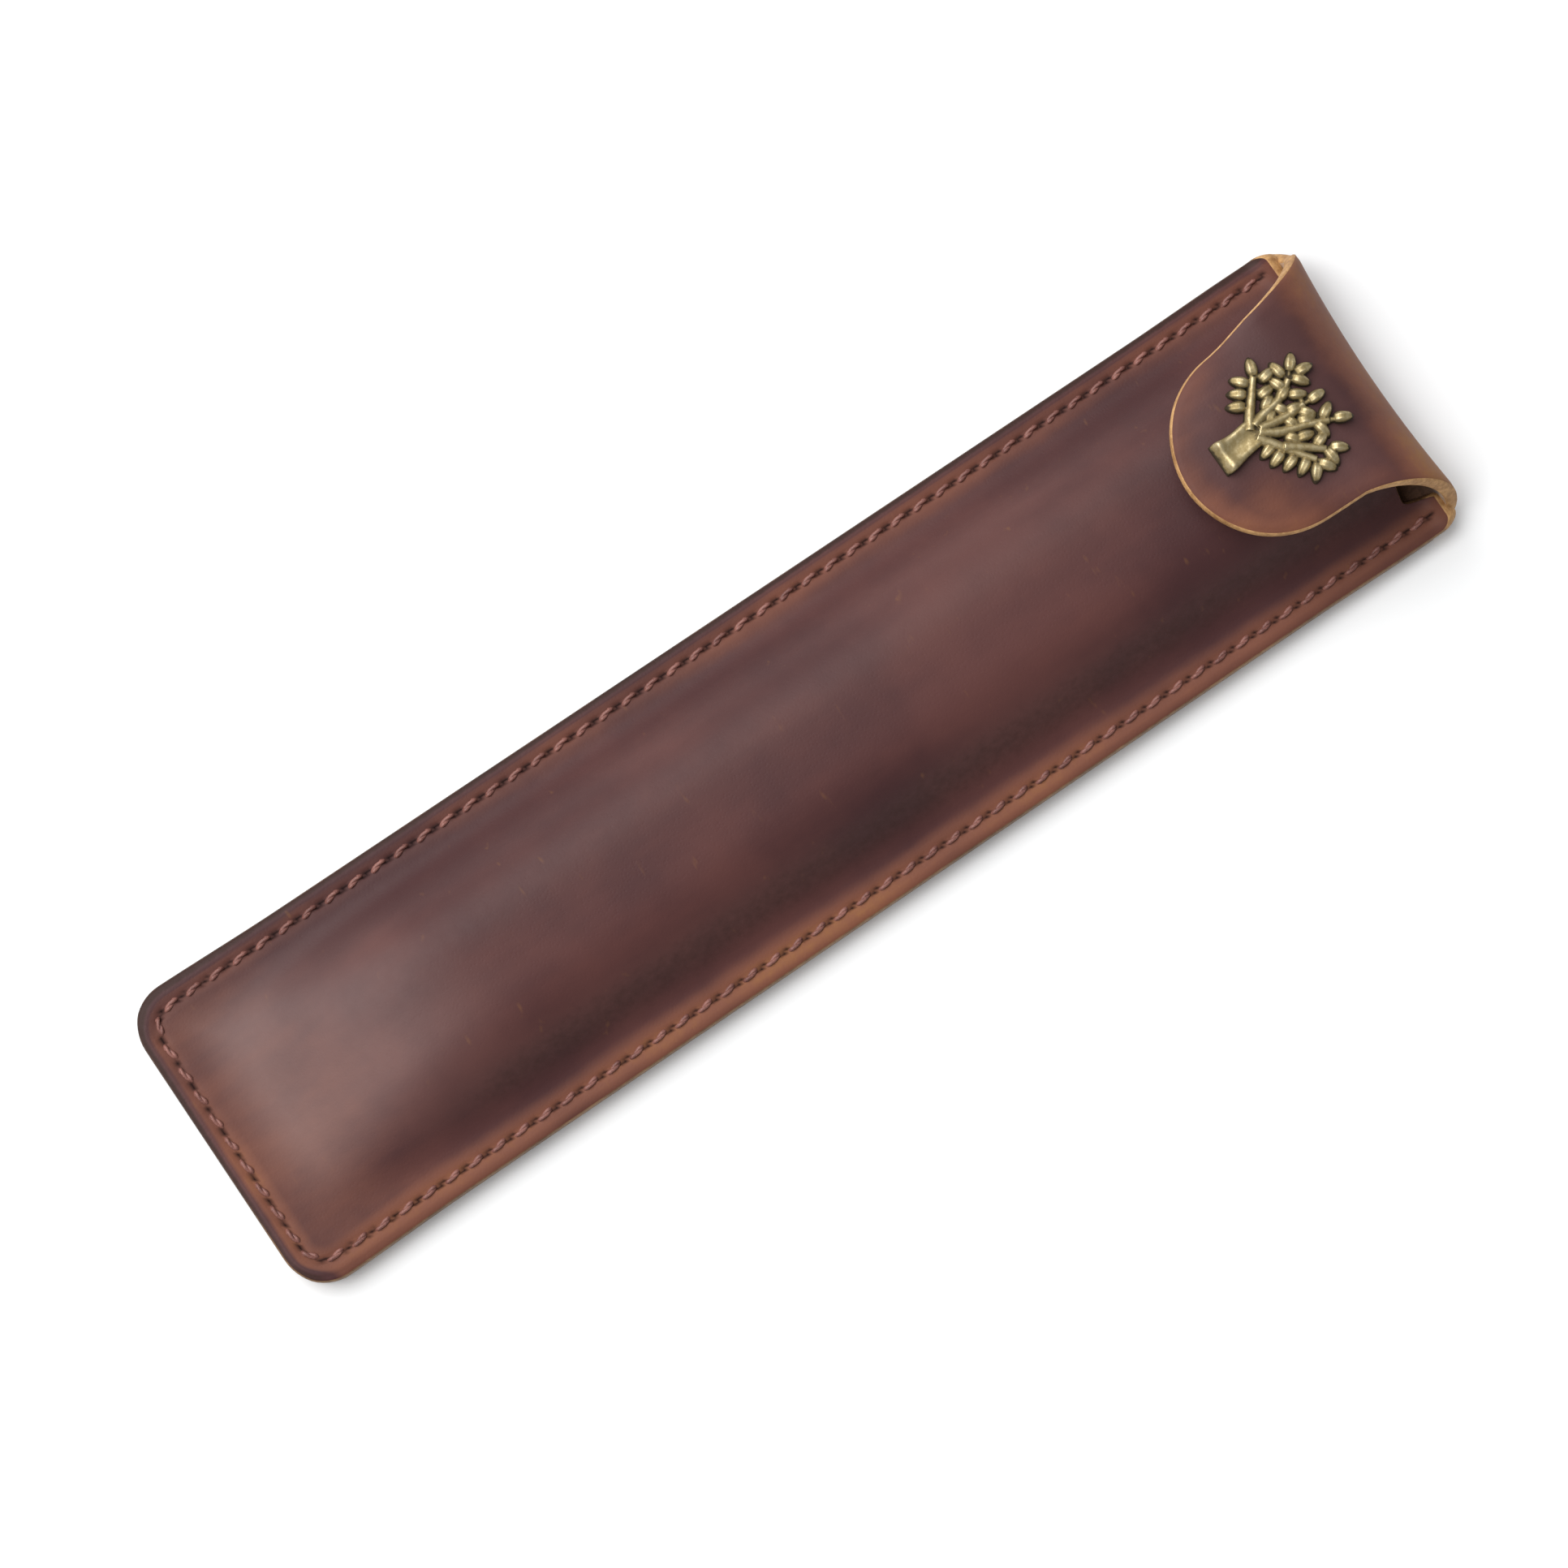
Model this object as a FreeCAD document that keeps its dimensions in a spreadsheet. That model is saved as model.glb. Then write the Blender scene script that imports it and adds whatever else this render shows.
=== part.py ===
"""Leather sleeve for one pen, lying on its back with the flap snapped shut.

X runs across the sleeve, Y along it towards the mouth, and Z up through the front panel.
The origin is under the middle of the sleeve, on the surface that it lies on.
"""

import FreeCAD, Part
import Sketcher
import math
import os

Vector = FreeCAD.Vector

# Driving dimensions: alias, millimetres or degrees or counts, meaning
SIZES = [
    ("sleeve_length", 170.0, "closed end to the outside of the fold"),
    ("sleeve_width", 41.0, "across the sewn edges"),
    ("hide_thickness", 1.8, "leather of both panels and the flap"),
    ("corner_radius", 5.5, "closed end's two corners"),
    ("seam_flange", 4.8, "sewn edge to the foot of the dome"),
    ("pocket_height", 8.0, "inside height under the crest"),
    ("crest_half_width", 3.4, "half of the flat along the crest"),
    ("toe_radius", 3.0, "hollow bend at the foot of the dome, outside"),
    ("end_run", 34.0, "closed end's slope from its foot to the crest"),
    ("end_toe_radius", 22.0, "hollow bend at the foot of that slope, outside"),
    ("mouth_setback", 5.8, "front panel's mouth edge behind the fold"),
    ("tab_length", 1.0, "sewn tabs beside the mouth, past its edge"),
    ("tab_radius", 1.8, "outer corners of those tabs"),
    ("closing_gap", 3.0, "crest to the underside of the flap"),
    ("fold_lower_radius", 4.6, "outside of the fold beside the back panel"),
    ("fold_split_angle", 45.0, "degrees round each bend where it hinges"),
    ("fold_lower_half_width", 19.6, "half of the fold's width at its lower hinge"),
    ("fold_upper_half_width", 15.4, "half of the fold's width at its upper hinge"),
    ("hinge_gap", 0.1, "between two stretches of leather at a hinge"),
    ("flap_reach", 29.5, "outside of the fold to the tip of the tongue"),
    ("tongue_radius", 12.2, "round end of the flap"),
    ("stitch_pitch", 3.3, "hole to hole along the seam"),
    ("stitch_inset", 2.4, "sewn edge to the seam"),
    ("stitch_slant", 0.4, "half of a stitch's sideways step"),
    ("stitch_start", 1.8, "end of a tab to the first hole"),
    ("thread_thickness", 0.5, "waxed thread"),
    ("thread_bevel", 0.12, "corner taken off where a stitch turns down"),
    ("thread_clearance", 0.05, "between the two legs that meet in a slit"),
    ("slit_length", 1.7, "stitching slit across the seam"),
    ("slit_width", 0.8, "stitching slit along the seam"),
    ("groove_depth", 0.55, "stitching groove"),
    ("groove_width", 2.2, "stitching groove"),
    ("snap_setback", 10.6, "tip of the tongue to the axis of the snap"),
    ("stud_flange_radius", 3.2, "stud's foot on the front panel"),
    ("stud_radius", 1.9, "stud's head"),
    ("stud_neck_radius", 1.7, "waist that the spring grips"),
    ("stud_height", 1.9, "stud above the front panel"),
    ("stud_foot", 0.4, "thickness of the stud's foot"),
    ("post_radius", 1.1, "rivet shank"),
    ("post_flange_radius", 3.0, "rivet head inside the pocket"),
    ("post_flange", 0.4, "thickness of the rivet head"),
    ("rivet_clearance", 0.05, "shank in its holes, on the radius"),
    ("socket_radius", 4.6, "outside of the socket"),
    ("socket_height", 2.3, "socket under the flap"),
    ("socket_wall", 0.5, "sheet of the socket"),
    ("socket_mouth_radius", 2.6, "hole that the stud enters"),
    ("spring_wire_radius", 0.3, "wire of the spring ring"),
    ("spring_ring_radius", 3.0, "middle of the wire"),
    ("spring_opening", 40.0, "degrees left open in the spring ring"),
    ("screw_head_radius", 1.7, "head inside the socket"),
    ("screw_head", 0.4, "height of the head"),
    ("screw_radius", 0.75, "shank"),
    ("screw_grip", 1.7, "shank inside the charm's boss"),
    ("boss_radius", 1.7, "boss on the back of the charm"),
    ("boss_clearance", 0.1, "boss in the flap, on the radius"),
    ("charm_width", 15.2, "across the crown of the tree"),
    ("charm_height", 17.2, "foot of the trunk to the top leaf"),
    ("charm_setback", 14.2, "tip of the tongue to the middle of the charm"),
    ("trunk_depth", 1.7, "trunk above the flap"),
    ("trunk_foot_half_width", 2.5, "half of the trunk's foot"),
    ("trunk_neck_half_width", 1.3, "half of the trunk below its boughs"),
    ("bough_root_radius", 0.75, "bough where it leaves the trunk"),
    ("bough_tip_radius", 0.42, "bough at its end leaf"),
    ("bough_lift", 0.15, "middle of a bough above the flap"),
    ("leaf_length", 2.4, "end to end"),
    ("leaf_width", 1.4, "across"),
    ("leaf_rise", 1.05, "half of a leaf's depth before its back is cut flat"),
    ("leaf_lift", 0.05, "middle of a leaf above the flap"),
    ("overrun", 2.0, "how far a cut runs past what it cuts"),
]

# The tree's boughs: end of each as a share of the charm's width and height from its middle
BOUGH_END_SHARES = [(-0.34, -0.03), (-0.29, 0.20), (-0.10, 0.355), (0.13, 0.345), (0.31, 0.19), (0.36, -0.07)]
# Boughs leave the trunk at this share of the charm's height below its middle
CROTCH_SHARE = 0.20
# The trunk is slimmest at this share of the way from its foot to its boughs
NECK_SHARE = 0.67
# A bough leaves the trunk this share of its own reach to the side
ROOT_SPREAD_SHARE = 0.22
# Leaves stand in pairs at these shares of a bough
LEAF_SHARES = [0.50, 0.78]
# A side leaf leans this share of a right angle away from its bough
LEAF_LEAN_SHARE = 0.62
# A leaf's middle stands this share of its length out from the bough
LEAF_STANDOFF_SHARE = 0.42

doc = FreeCAD.newDocument("pen_sleeve")
sheet = doc.addObject("Spreadsheet::Sheet", "Sizes")
for row, (alias, number, meaning) in enumerate(SIZES, 1):
    sheet.set(f"A{row}", meaning)
    sheet.set(f"B{row}", str(number))
    sheet.setAlias(f"B{row}", alias)
doc.recompute()


def cell(alias):
    """The expression that reads one cell of the sheet."""
    return f"Sizes.{alias}"


def value(expression):
    """What an expression comes to now, in millimetres or degrees."""
    result = sheet.evalExpression(str(expression))
    return float(getattr(result, "Value", result))


def size(alias):
    """The number in one cell of the sheet."""
    return value(cell(alias))


# Places that several pieces share, written as expressions of the sheet
HIDE = cell("hide_thickness")
HALF_LENGTH = f"({cell('sleeve_length')} / 2)"
HALF_WIDTH = f"({cell('sleeve_width')} / 2)"
SEAM_TOP = f"(2 * {HIDE})"
CREST = f"({SEAM_TOP} + {cell('pocket_height')})"
FLAP_UNDER = f"({CREST} + {cell('closing_gap')})"
FLAP_TOP = f"({FLAP_UNDER} + {HIDE})"
MOUTH_Y = f"({HALF_LENGTH} - {cell('mouth_setback')})"
TAB_Y = f"({MOUTH_Y} + {cell('tab_length')})"
LOWER_R = cell("fold_lower_radius")
UPPER_R = f"({FLAP_TOP} - {LOWER_R})"
LOWER_Y = f"({HALF_LENGTH} - {LOWER_R})"
UPPER_Y = f"({HALF_LENGTH} - {UPPER_R})"
FOLD_Z = LOWER_R
TOE = f"({HALF_WIDTH} - {cell('seam_flange')})"
SPLIT = cell("fold_split_angle")
TIP_Y = f"({HALF_LENGTH} - {cell('flap_reach')})"
SNAP_Y = f"({TIP_Y} + {cell('snap_setback')})"
CHARM_Y = f"({TIP_Y} + {cell('charm_setback')})"
OVERRUN = cell("overrun")

XY = FreeCAD.Rotation()
XZ = FreeCAD.Rotation(Vector(1, 0, 0), 90)
YZ = FreeCAD.Rotation(Vector(0, 1, 0), Vector(0, 0, 1), Vector(1, 0, 0), "XYZ")


def pin_coordinate(sketch, geometry, place, axis, expression):
    """Hold one coordinate of a sketch point at an expression."""
    now = value(expression)
    if expression == "0":
        sketch.addConstraint(Sketcher.Constraint("PointOnObject", geometry, place, -2 if axis == "X" else -1))
        return
    index = sketch.addConstraint(Sketcher.Constraint(f"Distance{axis}", -1, 1, geometry, place, now))
    sketch.setExpression(f"Constraints[{index}]", expression)


def draw_loop(sketch, corners):
    """Close a loop through corners.

    Each corner is (x, y), or (x, y, (centre x, centre y, turn)) where an arc leads to the next one.
    """
    spots = [Vector(value(c[0]), value(c[1]), 0) for c in corners]
    edges = []
    for index, corner in enumerate(corners):
        start = spots[index]
        end = spots[(index + 1) % len(spots)]
        if len(corner) == 2:
            edges.append((sketch.addGeometry(Part.LineSegment(start, end)), 1, 2))
            continue
        centre = Vector(value(corner[2][0]), value(corner[2][1]), 0)
        first, last = (start, end) if corner[2][2] == "left" else (end, start)
        low = math.atan2(first.y - centre.y, first.x - centre.x)
        high = math.atan2(last.y - centre.y, last.x - centre.x)
        circle = Part.Circle(centre, Vector(0, 0, 1), first.distanceToPoint(centre))
        arc = sketch.addGeometry(Part.ArcOfCircle(circle, low, high if high > low else high + 2 * math.pi))
        edges.append((arc, 1, 2) if corner[2][2] == "left" else (arc, 2, 1))
    for index, corner in enumerate(corners):
        geometry, first, last = edges[index]
        after = edges[(index + 1) % len(edges)]
        sketch.addConstraint(Sketcher.Constraint("Coincident", geometry, last, after[0], after[1]))
        pin_coordinate(sketch, geometry, first, "X", corner[0])
        pin_coordinate(sketch, geometry, first, "Y", corner[1])
        if len(corner) == 3:
            chord = spots[(index + 1) % len(spots)] - spots[index]
            flat = abs(chord.x) >= abs(chord.y)
            pin_coordinate(sketch, geometry, 3, "Y" if flat else "X", corner[2][1 if flat else 0])


def free_sketch(name, rotation, corners):
    """A sketch of one closed loop, turned to a plane through the origin."""
    sketch = doc.addObject("Sketcher::SketchObject", name)
    sketch.Placement = FreeCAD.Placement(Vector(), rotation)
    draw_loop(sketch, corners)
    doc.recompute()
    return sketch


def extrude(name, sketch, direction, forward, backward):
    """A solid drawn out of a sketch both ways along a direction."""
    solid = doc.addObject("Part::Extrusion", name)
    solid.Base = sketch
    solid.DirMode = "Custom"
    solid.Dir = direction
    solid.Solid = True
    solid.setExpression("LengthFwd", forward)
    solid.setExpression("LengthRev", backward)
    doc.recompute()
    return solid


def combine(kind, name, first, second):
    """Part::Cut, Part::Fuse or Part::Common of two objects."""
    result = doc.addObject(f"Part::{kind}", name)
    result.Base = first
    result.Tool = second
    result.Refine = False
    doc.recompute()
    return result


def place(item, x, y, z):
    """Hold an object at three expressions."""
    for axis, expression in (("x", x), ("y", y), ("z", z)):
        item.setExpression(f"Placement.Base.{axis}", expression)


def upright_cylinder(name, radius, y, z, height):
    """A cylinder standing at (0, y, z)."""
    drill = doc.addObject("Part::Cylinder", name)
    drill.setExpression("Radius", radius)
    drill.setExpression("Height", height)
    place(drill, "0", y, z)
    return drill


def body_sketch(body, name, role, corners):
    """A sketch of one closed loop on one of a body's own origin planes."""
    sketch = body.newObject("Sketcher::SketchObject", name)
    plane = next(f for f in body.Origin.OriginFeatures if f.Role == role)
    sketch.AttachmentSupport = (plane, [""])
    sketch.MapMode = "FlatFace"
    doc.recompute()
    draw_loop(sketch, corners)
    doc.recompute()
    return sketch


def turned_body(name, y, corners):
    """A body turned about the vertical line through (0, y) from a half section of radius and height."""
    body = doc.addObject("PartDesign::Body", name)
    sketch = body_sketch(body, f"{name}_section", "XZ_Plane", corners)
    turn = body.newObject("PartDesign::Revolution", f"{name}_turn")
    turn.Profile = sketch
    turn.ReferenceAxis = (sketch, ["V_Axis"])
    turn.Angle = 360
    body.setExpression("Placement.Base.y", y)
    doc.recompute()
    return body


def closed_end():
    """The sides and rounded corners of a panel's closed end, from the left side to the right."""
    left, right = f"-{HALF_WIDTH}", HALF_WIDTH
    low, radius = f"-{HALF_LENGTH}", cell("corner_radius")
    return [
        (left, f"{low} + {radius}", (f"{left} + {radius}", f"{low} + {radius}", "left")),
        (f"{left} + {radius}", low),
        (f"{right} - {radius}", low, (f"{right} - {radius}", f"{low} + {radius}", "left")),
        (right, f"{low} + {radius}"),
    ]


def back_outline():
    """Outline of the back panel up to the fold."""
    return [(f"-{HALF_WIDTH}", LOWER_Y), *closed_end(), (HALF_WIDTH, LOWER_Y)]


def front_outline():
    """Outline of the front panel with a round-cornered tab each side of the mouth."""
    radius = cell("tab_radius")
    bend_x, bend_y = f"({HALF_WIDTH} - {radius})", f"({TAB_Y} - {radius})"
    return [
        (f"-{bend_x}", TAB_Y, (f"-{bend_x}", bend_y, "left")),
        (f"-{HALF_WIDTH}", bend_y),
        *closed_end(),
        (HALF_WIDTH, bend_y, (bend_x, bend_y, "left")),
        (bend_x, TAB_Y),
        (TOE, TAB_Y),
        (TOE, MOUTH_Y),
        (f"-{TOE}", MOUTH_Y),
        (f"-{TOE}", TAB_Y),
    ]


def seam_groove_outline():
    """Band of the stitching groove, down one side, round the closed end and up the other."""
    outer = f"({cell('stitch_inset')} - {cell('groove_width')} / 2)"
    inner = f"({cell('stitch_inset')} + {cell('groove_width')} / 2)"
    low, radius, top = f"-{HALF_LENGTH}", cell("corner_radius"), TAB_Y
    side_out, side_in = f"({HALF_WIDTH} - {outer})", f"({HALF_WIDTH} - {inner})"
    middle_x, middle_y = f"({HALF_WIDTH} - {radius})", f"({low} + {radius})"
    return [
        (f"-{side_out}", top),
        (f"-{side_out}", middle_y, (f"-{middle_x}", middle_y, "left")),
        (f"-{middle_x}", f"{low} + {outer}"),
        (middle_x, f"{low} + {outer}", (middle_x, middle_y, "left")),
        (side_out, middle_y),
        (side_out, top),
        (side_in, top),
        (side_in, middle_y, (middle_x, middle_y, "right")),
        (middle_x, f"{low} + {inner}"),
        (f"-{middle_x}", f"{low} + {inner}", (f"-{middle_x}", middle_y, "right")),
        (f"-{side_in}", middle_y),
        (f"-{side_in}", top),
    ]


# Seam: the path of the stitches and the solids made along it


def seam_path(distance):
    """Point and unit direction on the seam at a distance from its left mouth end."""
    half = size("sleeve_width") / 2 - size("stitch_inset")
    radius = size("corner_radius") - size("stitch_inset")
    top = value(TAB_Y) - size("stitch_start")
    low = size("stitch_inset") - value(HALF_LENGTH)
    side, corner, across = top - low - radius, math.pi / 2 * radius, 2 * (half - radius)
    if distance <= side:
        return Vector(-half, top - distance, 0), Vector(0, -1, 0)
    distance -= side
    if distance <= corner:
        turn = distance / radius
        heading = Vector(math.sin(turn), -math.cos(turn), 0)
        out, down = radius * math.cos(turn), radius * math.sin(turn)
        return Vector(radius - half - out, low + radius - down, 0), heading
    distance -= corner
    if distance <= across:
        return Vector(radius - half + distance, low, 0), Vector(1, 0, 0)
    distance -= across
    if distance <= corner:
        turn = distance / radius
        heading = Vector(math.cos(turn), math.sin(turn), 0)
        out, down = radius * math.sin(turn), radius * math.cos(turn)
        return Vector(half - radius + out, low + radius - down, 0), heading
    return Vector(half, low + radius + distance - corner, 0), Vector(0, 1, 0)


def seam_lengths():
    """Lengths of a side, a corner and the closed end along the seam."""
    radius = size("corner_radius") - size("stitch_inset")
    side = value(TAB_Y) - size("stitch_start") + value(HALF_LENGTH) - size("corner_radius")
    return side, math.pi / 2 * radius, size("sleeve_width") - 2 * size("corner_radius")


def seam_holes():
    """Every stitching hole as its distance, point, direction and sideways unit vector."""
    side, corner, across = seam_lengths()
    total = 2 * side + 2 * corner + across
    count = round(total / size("stitch_pitch"))
    holes = []
    for index in range(count + 1):
        point, heading = seam_path(total * index / count)
        holes.append((total * index / count, point, heading, Vector(-heading.y, heading.x, 0)))
    return holes


def slits(name):
    """All the stitching slits as one cutting shape through both panels."""
    along, across = size("slit_width") / 2, size("slit_length") / 2
    low, high = -size("overrun"), value(SEAM_TOP) + size("overrun")
    cutters = []
    for _, point, heading, sideways in seam_holes():
        ring = [point + heading * a + sideways * b + Vector(0, 0, low)
                for a, b in ((-along, -across), (along, -across), (along, across), (-along, across))]
        cutters.append(Part.Face(Part.makePolygon(ring + ring[:1])).extrude(Vector(0, 0, high - low)))
    tool = doc.addObject("Part::Feature", name)
    tool.Shape = Part.makeCompound(cutters)
    return tool


def stitch(start, end, level, up):
    """One stitch: a bar from hole to hole lying on the groove's floor, with a leg down each hole."""
    thread = size("thread_thickness")
    bevel = size("thread_bevel")
    leg = size("hide_thickness") - size("groove_depth") - size("thread_clearance")
    run = end - start
    length = run.Length
    ahead = run.normalize()
    sideways = Vector(-ahead.y, ahead.x, 0)
    half = thread / 2
    rim = [
        (-half, -leg), (-half, thread - bevel), (bevel - half, thread),
        (length + half - bevel, thread), (length + half, thread - bevel), (length + half, -leg),
        (length - half, -leg), (length - half, 0), (half, 0), (half, -leg),
    ]
    points = [start + ahead * a - sideways * half + Vector(0, 0, level + up * b) for a, b in rim]
    return Part.Face(Part.makePolygon(points + points[:1])).extrude(sideways * thread)


def seam_threads():
    """The stitches of the left side, the closed end and the right side, on both faces."""
    side, corner, across = seam_lengths()
    ends = [side + corner / 2, side + 3 * corner / 2 + across]
    rows = {"left_seam_thread": [], "bottom_seam_thread": [], "right_seam_thread": []}
    slant = size("stitch_slant")
    floors = [(value(SEAM_TOP) - size("groove_depth"), 1), (size("groove_depth"), -1)]
    holes = seam_holes()
    for first, second in zip(holes, holes[1:]):
        middle = (first[0] + second[0]) / 2
        name = list(rows)[sum(middle > end for end in ends)]
        for level, up in floors:
            step = slant * up
            rows[name].append(stitch(first[1] + first[3] * step, second[1] - second[3] * step, level, up))
    for name, stitches in rows.items():
        thread = doc.addObject("Part::Feature", name)
        thread.Shape = Part.makeCompound(stitches)


# Front panel: a flat sewn flange round a dome, hollow underneath

RISE = cell("pocket_height")
RUN = f"({TOE} - {cell('crest_half_width')})"


def shoulder(toe, sign, run, toe_radius, depth):
    """Foot, middle and top of one S-shaped shoulder, and the centres of its two bends.

    toe is where the outer surface leaves the flange, sign is 1 where it climbs towards +, run is how far it
    climbs sideways, and depth is how far inside the outer surface the shoulder lies.
    """
    both = f"(({run} * {run} + {RISE} * {RISE}) / (2 * {RISE}))"
    share = f"(({toe_radius} + {depth}) / {both})"
    foot = (toe, f"({SEAM_TOP} - {depth})")
    middle_z = f"({SEAM_TOP} + {toe_radius} + {share} * ({RISE} - {both}))"
    middle = (f"({toe} + {sign} * {share} * {run})", middle_z)
    top = (f"({toe} + {sign} * {run})", f"({CREST} - {depth})")
    foot_centre = (toe, f"({SEAM_TOP} + {toe_radius})")
    top_centre = (top[0], f"({CREST} - {both} + {toe_radius})")
    return foot, middle, top, foot_centre, top_centre


def dome_loops(depth, base):
    """Cross section and lengthwise section of the dome, a depth of leather inside its outer surface."""
    left = shoulder(f"(-{TOE})", 1, RUN, cell("toe_radius"), depth)
    right = shoulder(TOE, -1, RUN, cell("toe_radius"), depth)
    foot = f"({cell('seam_flange')} - {HALF_LENGTH})"
    end = shoulder(foot, 1, cell("end_run"), cell("end_toe_radius"), depth)
    past = f"({MOUTH_Y} + {OVERRUN})"
    cross = [
        (f"(-{TOE})", base),
        (TOE, base),
        (*right[0], (*right[3], "right")),
        (*right[1], (*right[4], "left")),
        right[2],
        (*left[2], (*left[4], "left")),
        (*left[1], (*left[3], "right")),
        left[0],
    ]
    lengthwise = [
        (end[0][0], base),
        (past, base),
        (past, end[2][1]),
        (*end[2], (*end[4], "left")),
        (*end[1], (*end[3], "right")),
        end[0],
    ]
    return cross, lengthwise


def dome(name, depth, base, mouth):
    """The dome's solid: what its cross section and its lengthwise section have in common."""
    cross, lengthwise = dome_loops(depth, base)
    cross_sketch = free_sketch(f"{name}_cross", XZ, cross)
    length_sketch = free_sketch(f"{name}_length", YZ, lengthwise)
    across = extrude(f"{name}_across", cross_sketch, Vector(0, 1, 0), mouth, HALF_LENGTH)
    along = extrude(f"{name}_along", length_sketch, Vector(1, 0, 0), HALF_WIDTH, HALF_WIDTH)
    return combine("Common", name, across, along)


def front_panel(slit_tool):
    """Front wall of the pocket."""
    edge = free_sketch("front_edge", XY, front_outline())
    flange = extrude("front_flange", edge, Vector(0, 0, 1), SEAM_TOP, f"-{HIDE}")
    outer = dome("dome_outside", "0", HIDE, MOUTH_Y)
    inner = dome("dome_inside", HIDE, "0", f"({MOUTH_Y} + {OVERRUN})")
    shell = combine("Cut", "front_shell", combine("Fuse", "front_block", flange, outer), inner)
    groove = extrude(
        "front_groove", free_sketch("front_groove_band", XY, seam_groove_outline()), Vector(0, 0, 1),
        f"({SEAM_TOP} + {OVERRUN})", f"({cell('groove_depth')} - {SEAM_TOP})",
    )
    grooved = combine("Cut", "front_grooved", shell, groove)
    slitted = combine("Cut", "front_slitted", grooved, slit_tool)
    bore = f"{cell('post_radius')} + {cell('rivet_clearance')}"
    drill = upright_cylinder(
        "stud_drill", bore, SNAP_Y, f"{CREST} - {HIDE} - {OVERRUN}", f"{HIDE} + 2 * {OVERRUN}"
    )
    return combine("Cut", "front_panel", slitted, drill)


# Back panel, fold and flap: one hide, split where it bends


def ring_sector(y, radius, from_angle, to_angle):
    """Four corners of a stretch of bent leather, with angles in degrees from +Y."""
    inside = f"({radius} - {HIDE})"

    def spot(reach, angle):
        return (f"({y} + {reach} * cos({angle}))", f"({FOLD_Z} + {reach} * sin({angle}))")

    return [spot(radius, from_angle), spot(radius, to_angle), spot(inside, to_angle), spot(inside, from_angle)]


def hinge_trim(radius):
    """Degrees that half of the hinge's gap takes up on a bend."""
    return f"({cell('hinge_gap')} / 2 / {radius} * 180 / pi)"


def back_panel(slit_tool):
    """Back wall of the pocket with the first stretch of the fold."""
    body = doc.addObject("PartDesign::Body", "back_hide")
    plate = body.newObject("PartDesign::Pad", "back_plate")
    plate.Profile = body_sketch(body, "back_edge", "XY_Plane", back_outline())
    plate.setExpression("Length", HIDE)
    doc.recompute()
    centre = (LOWER_Y, FOLD_Z)
    end = f"(-{SPLIT} - {hinge_trim(LOWER_R)})"
    _, outer_end, inner_end, _ = ring_sector(LOWER_Y, LOWER_R, "(-90)", end)
    lip = body.newObject("PartDesign::Pad", "back_lip")
    lip.Profile = body_sketch(body, "back_lip_section", "YZ_Plane", [
        (LOWER_Y, "0", (*centre, "left")),
        outer_end,
        (*inner_end, (*centre, "right")),
        (LOWER_Y, HIDE),
    ])
    lip.Midplane = True
    lip.setExpression("Length", f"2 * {cell('fold_lower_half_width')}")
    groove = body.newObject("PartDesign::Pocket", "back_groove")
    groove.Profile = body_sketch(body, "back_groove_band", "XY_Plane", seam_groove_outline())
    groove.setExpression("Length", cell("groove_depth"))
    groove.Reversed = True
    doc.recompute()
    return combine("Cut", "back_panel", body, slit_tool)


def flap_fold():
    """The stretch of hide between the two hinges, narrowing as it climbs."""
    low = f"(-{SPLIT} + {hinge_trim(LOWER_R)})"
    high = f"({SPLIT} - {hinge_trim(UPPER_R)})"
    lower_outer, middle_outer, middle_inner, lower_inner = ring_sector(LOWER_Y, LOWER_R, low, "0")
    _, upper_outer, upper_inner, _ = ring_sector(UPPER_Y, UPPER_R, "0", high)
    lower_centre, upper_centre = (LOWER_Y, FOLD_Z), (UPPER_Y, FOLD_Z)
    section = free_sketch("fold_section", YZ, [
        (*lower_outer, (*lower_centre, "left")),
        (*middle_outer, (*upper_centre, "left")),
        upper_outer,
        (*upper_inner, (*upper_centre, "right")),
        (*middle_inner, (*lower_centre, "right")),
        lower_inner,
    ])
    bent = extrude("fold_bent", section, Vector(1, 0, 0), HALF_WIDTH, HALF_WIDTH)
    wide, narrow = cell("fold_lower_half_width"), cell("fold_upper_half_width")
    foot = lower_outer[1]
    outline = free_sketch("fold_outline", XZ, [
        (f"-{wide}", "0"), (wide, "0"), (wide, foot), (narrow, upper_outer[1]), (narrow, FLAP_TOP),
        (f"-{narrow}", FLAP_TOP), (f"-{narrow}", upper_outer[1]), (f"-{wide}", foot),
    ])
    width = extrude("fold_width", outline, Vector(0, 1, 0), f"({HALF_LENGTH} + {OVERRUN})", "0")
    return combine("Common", "flap_fold", bent, width)


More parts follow.
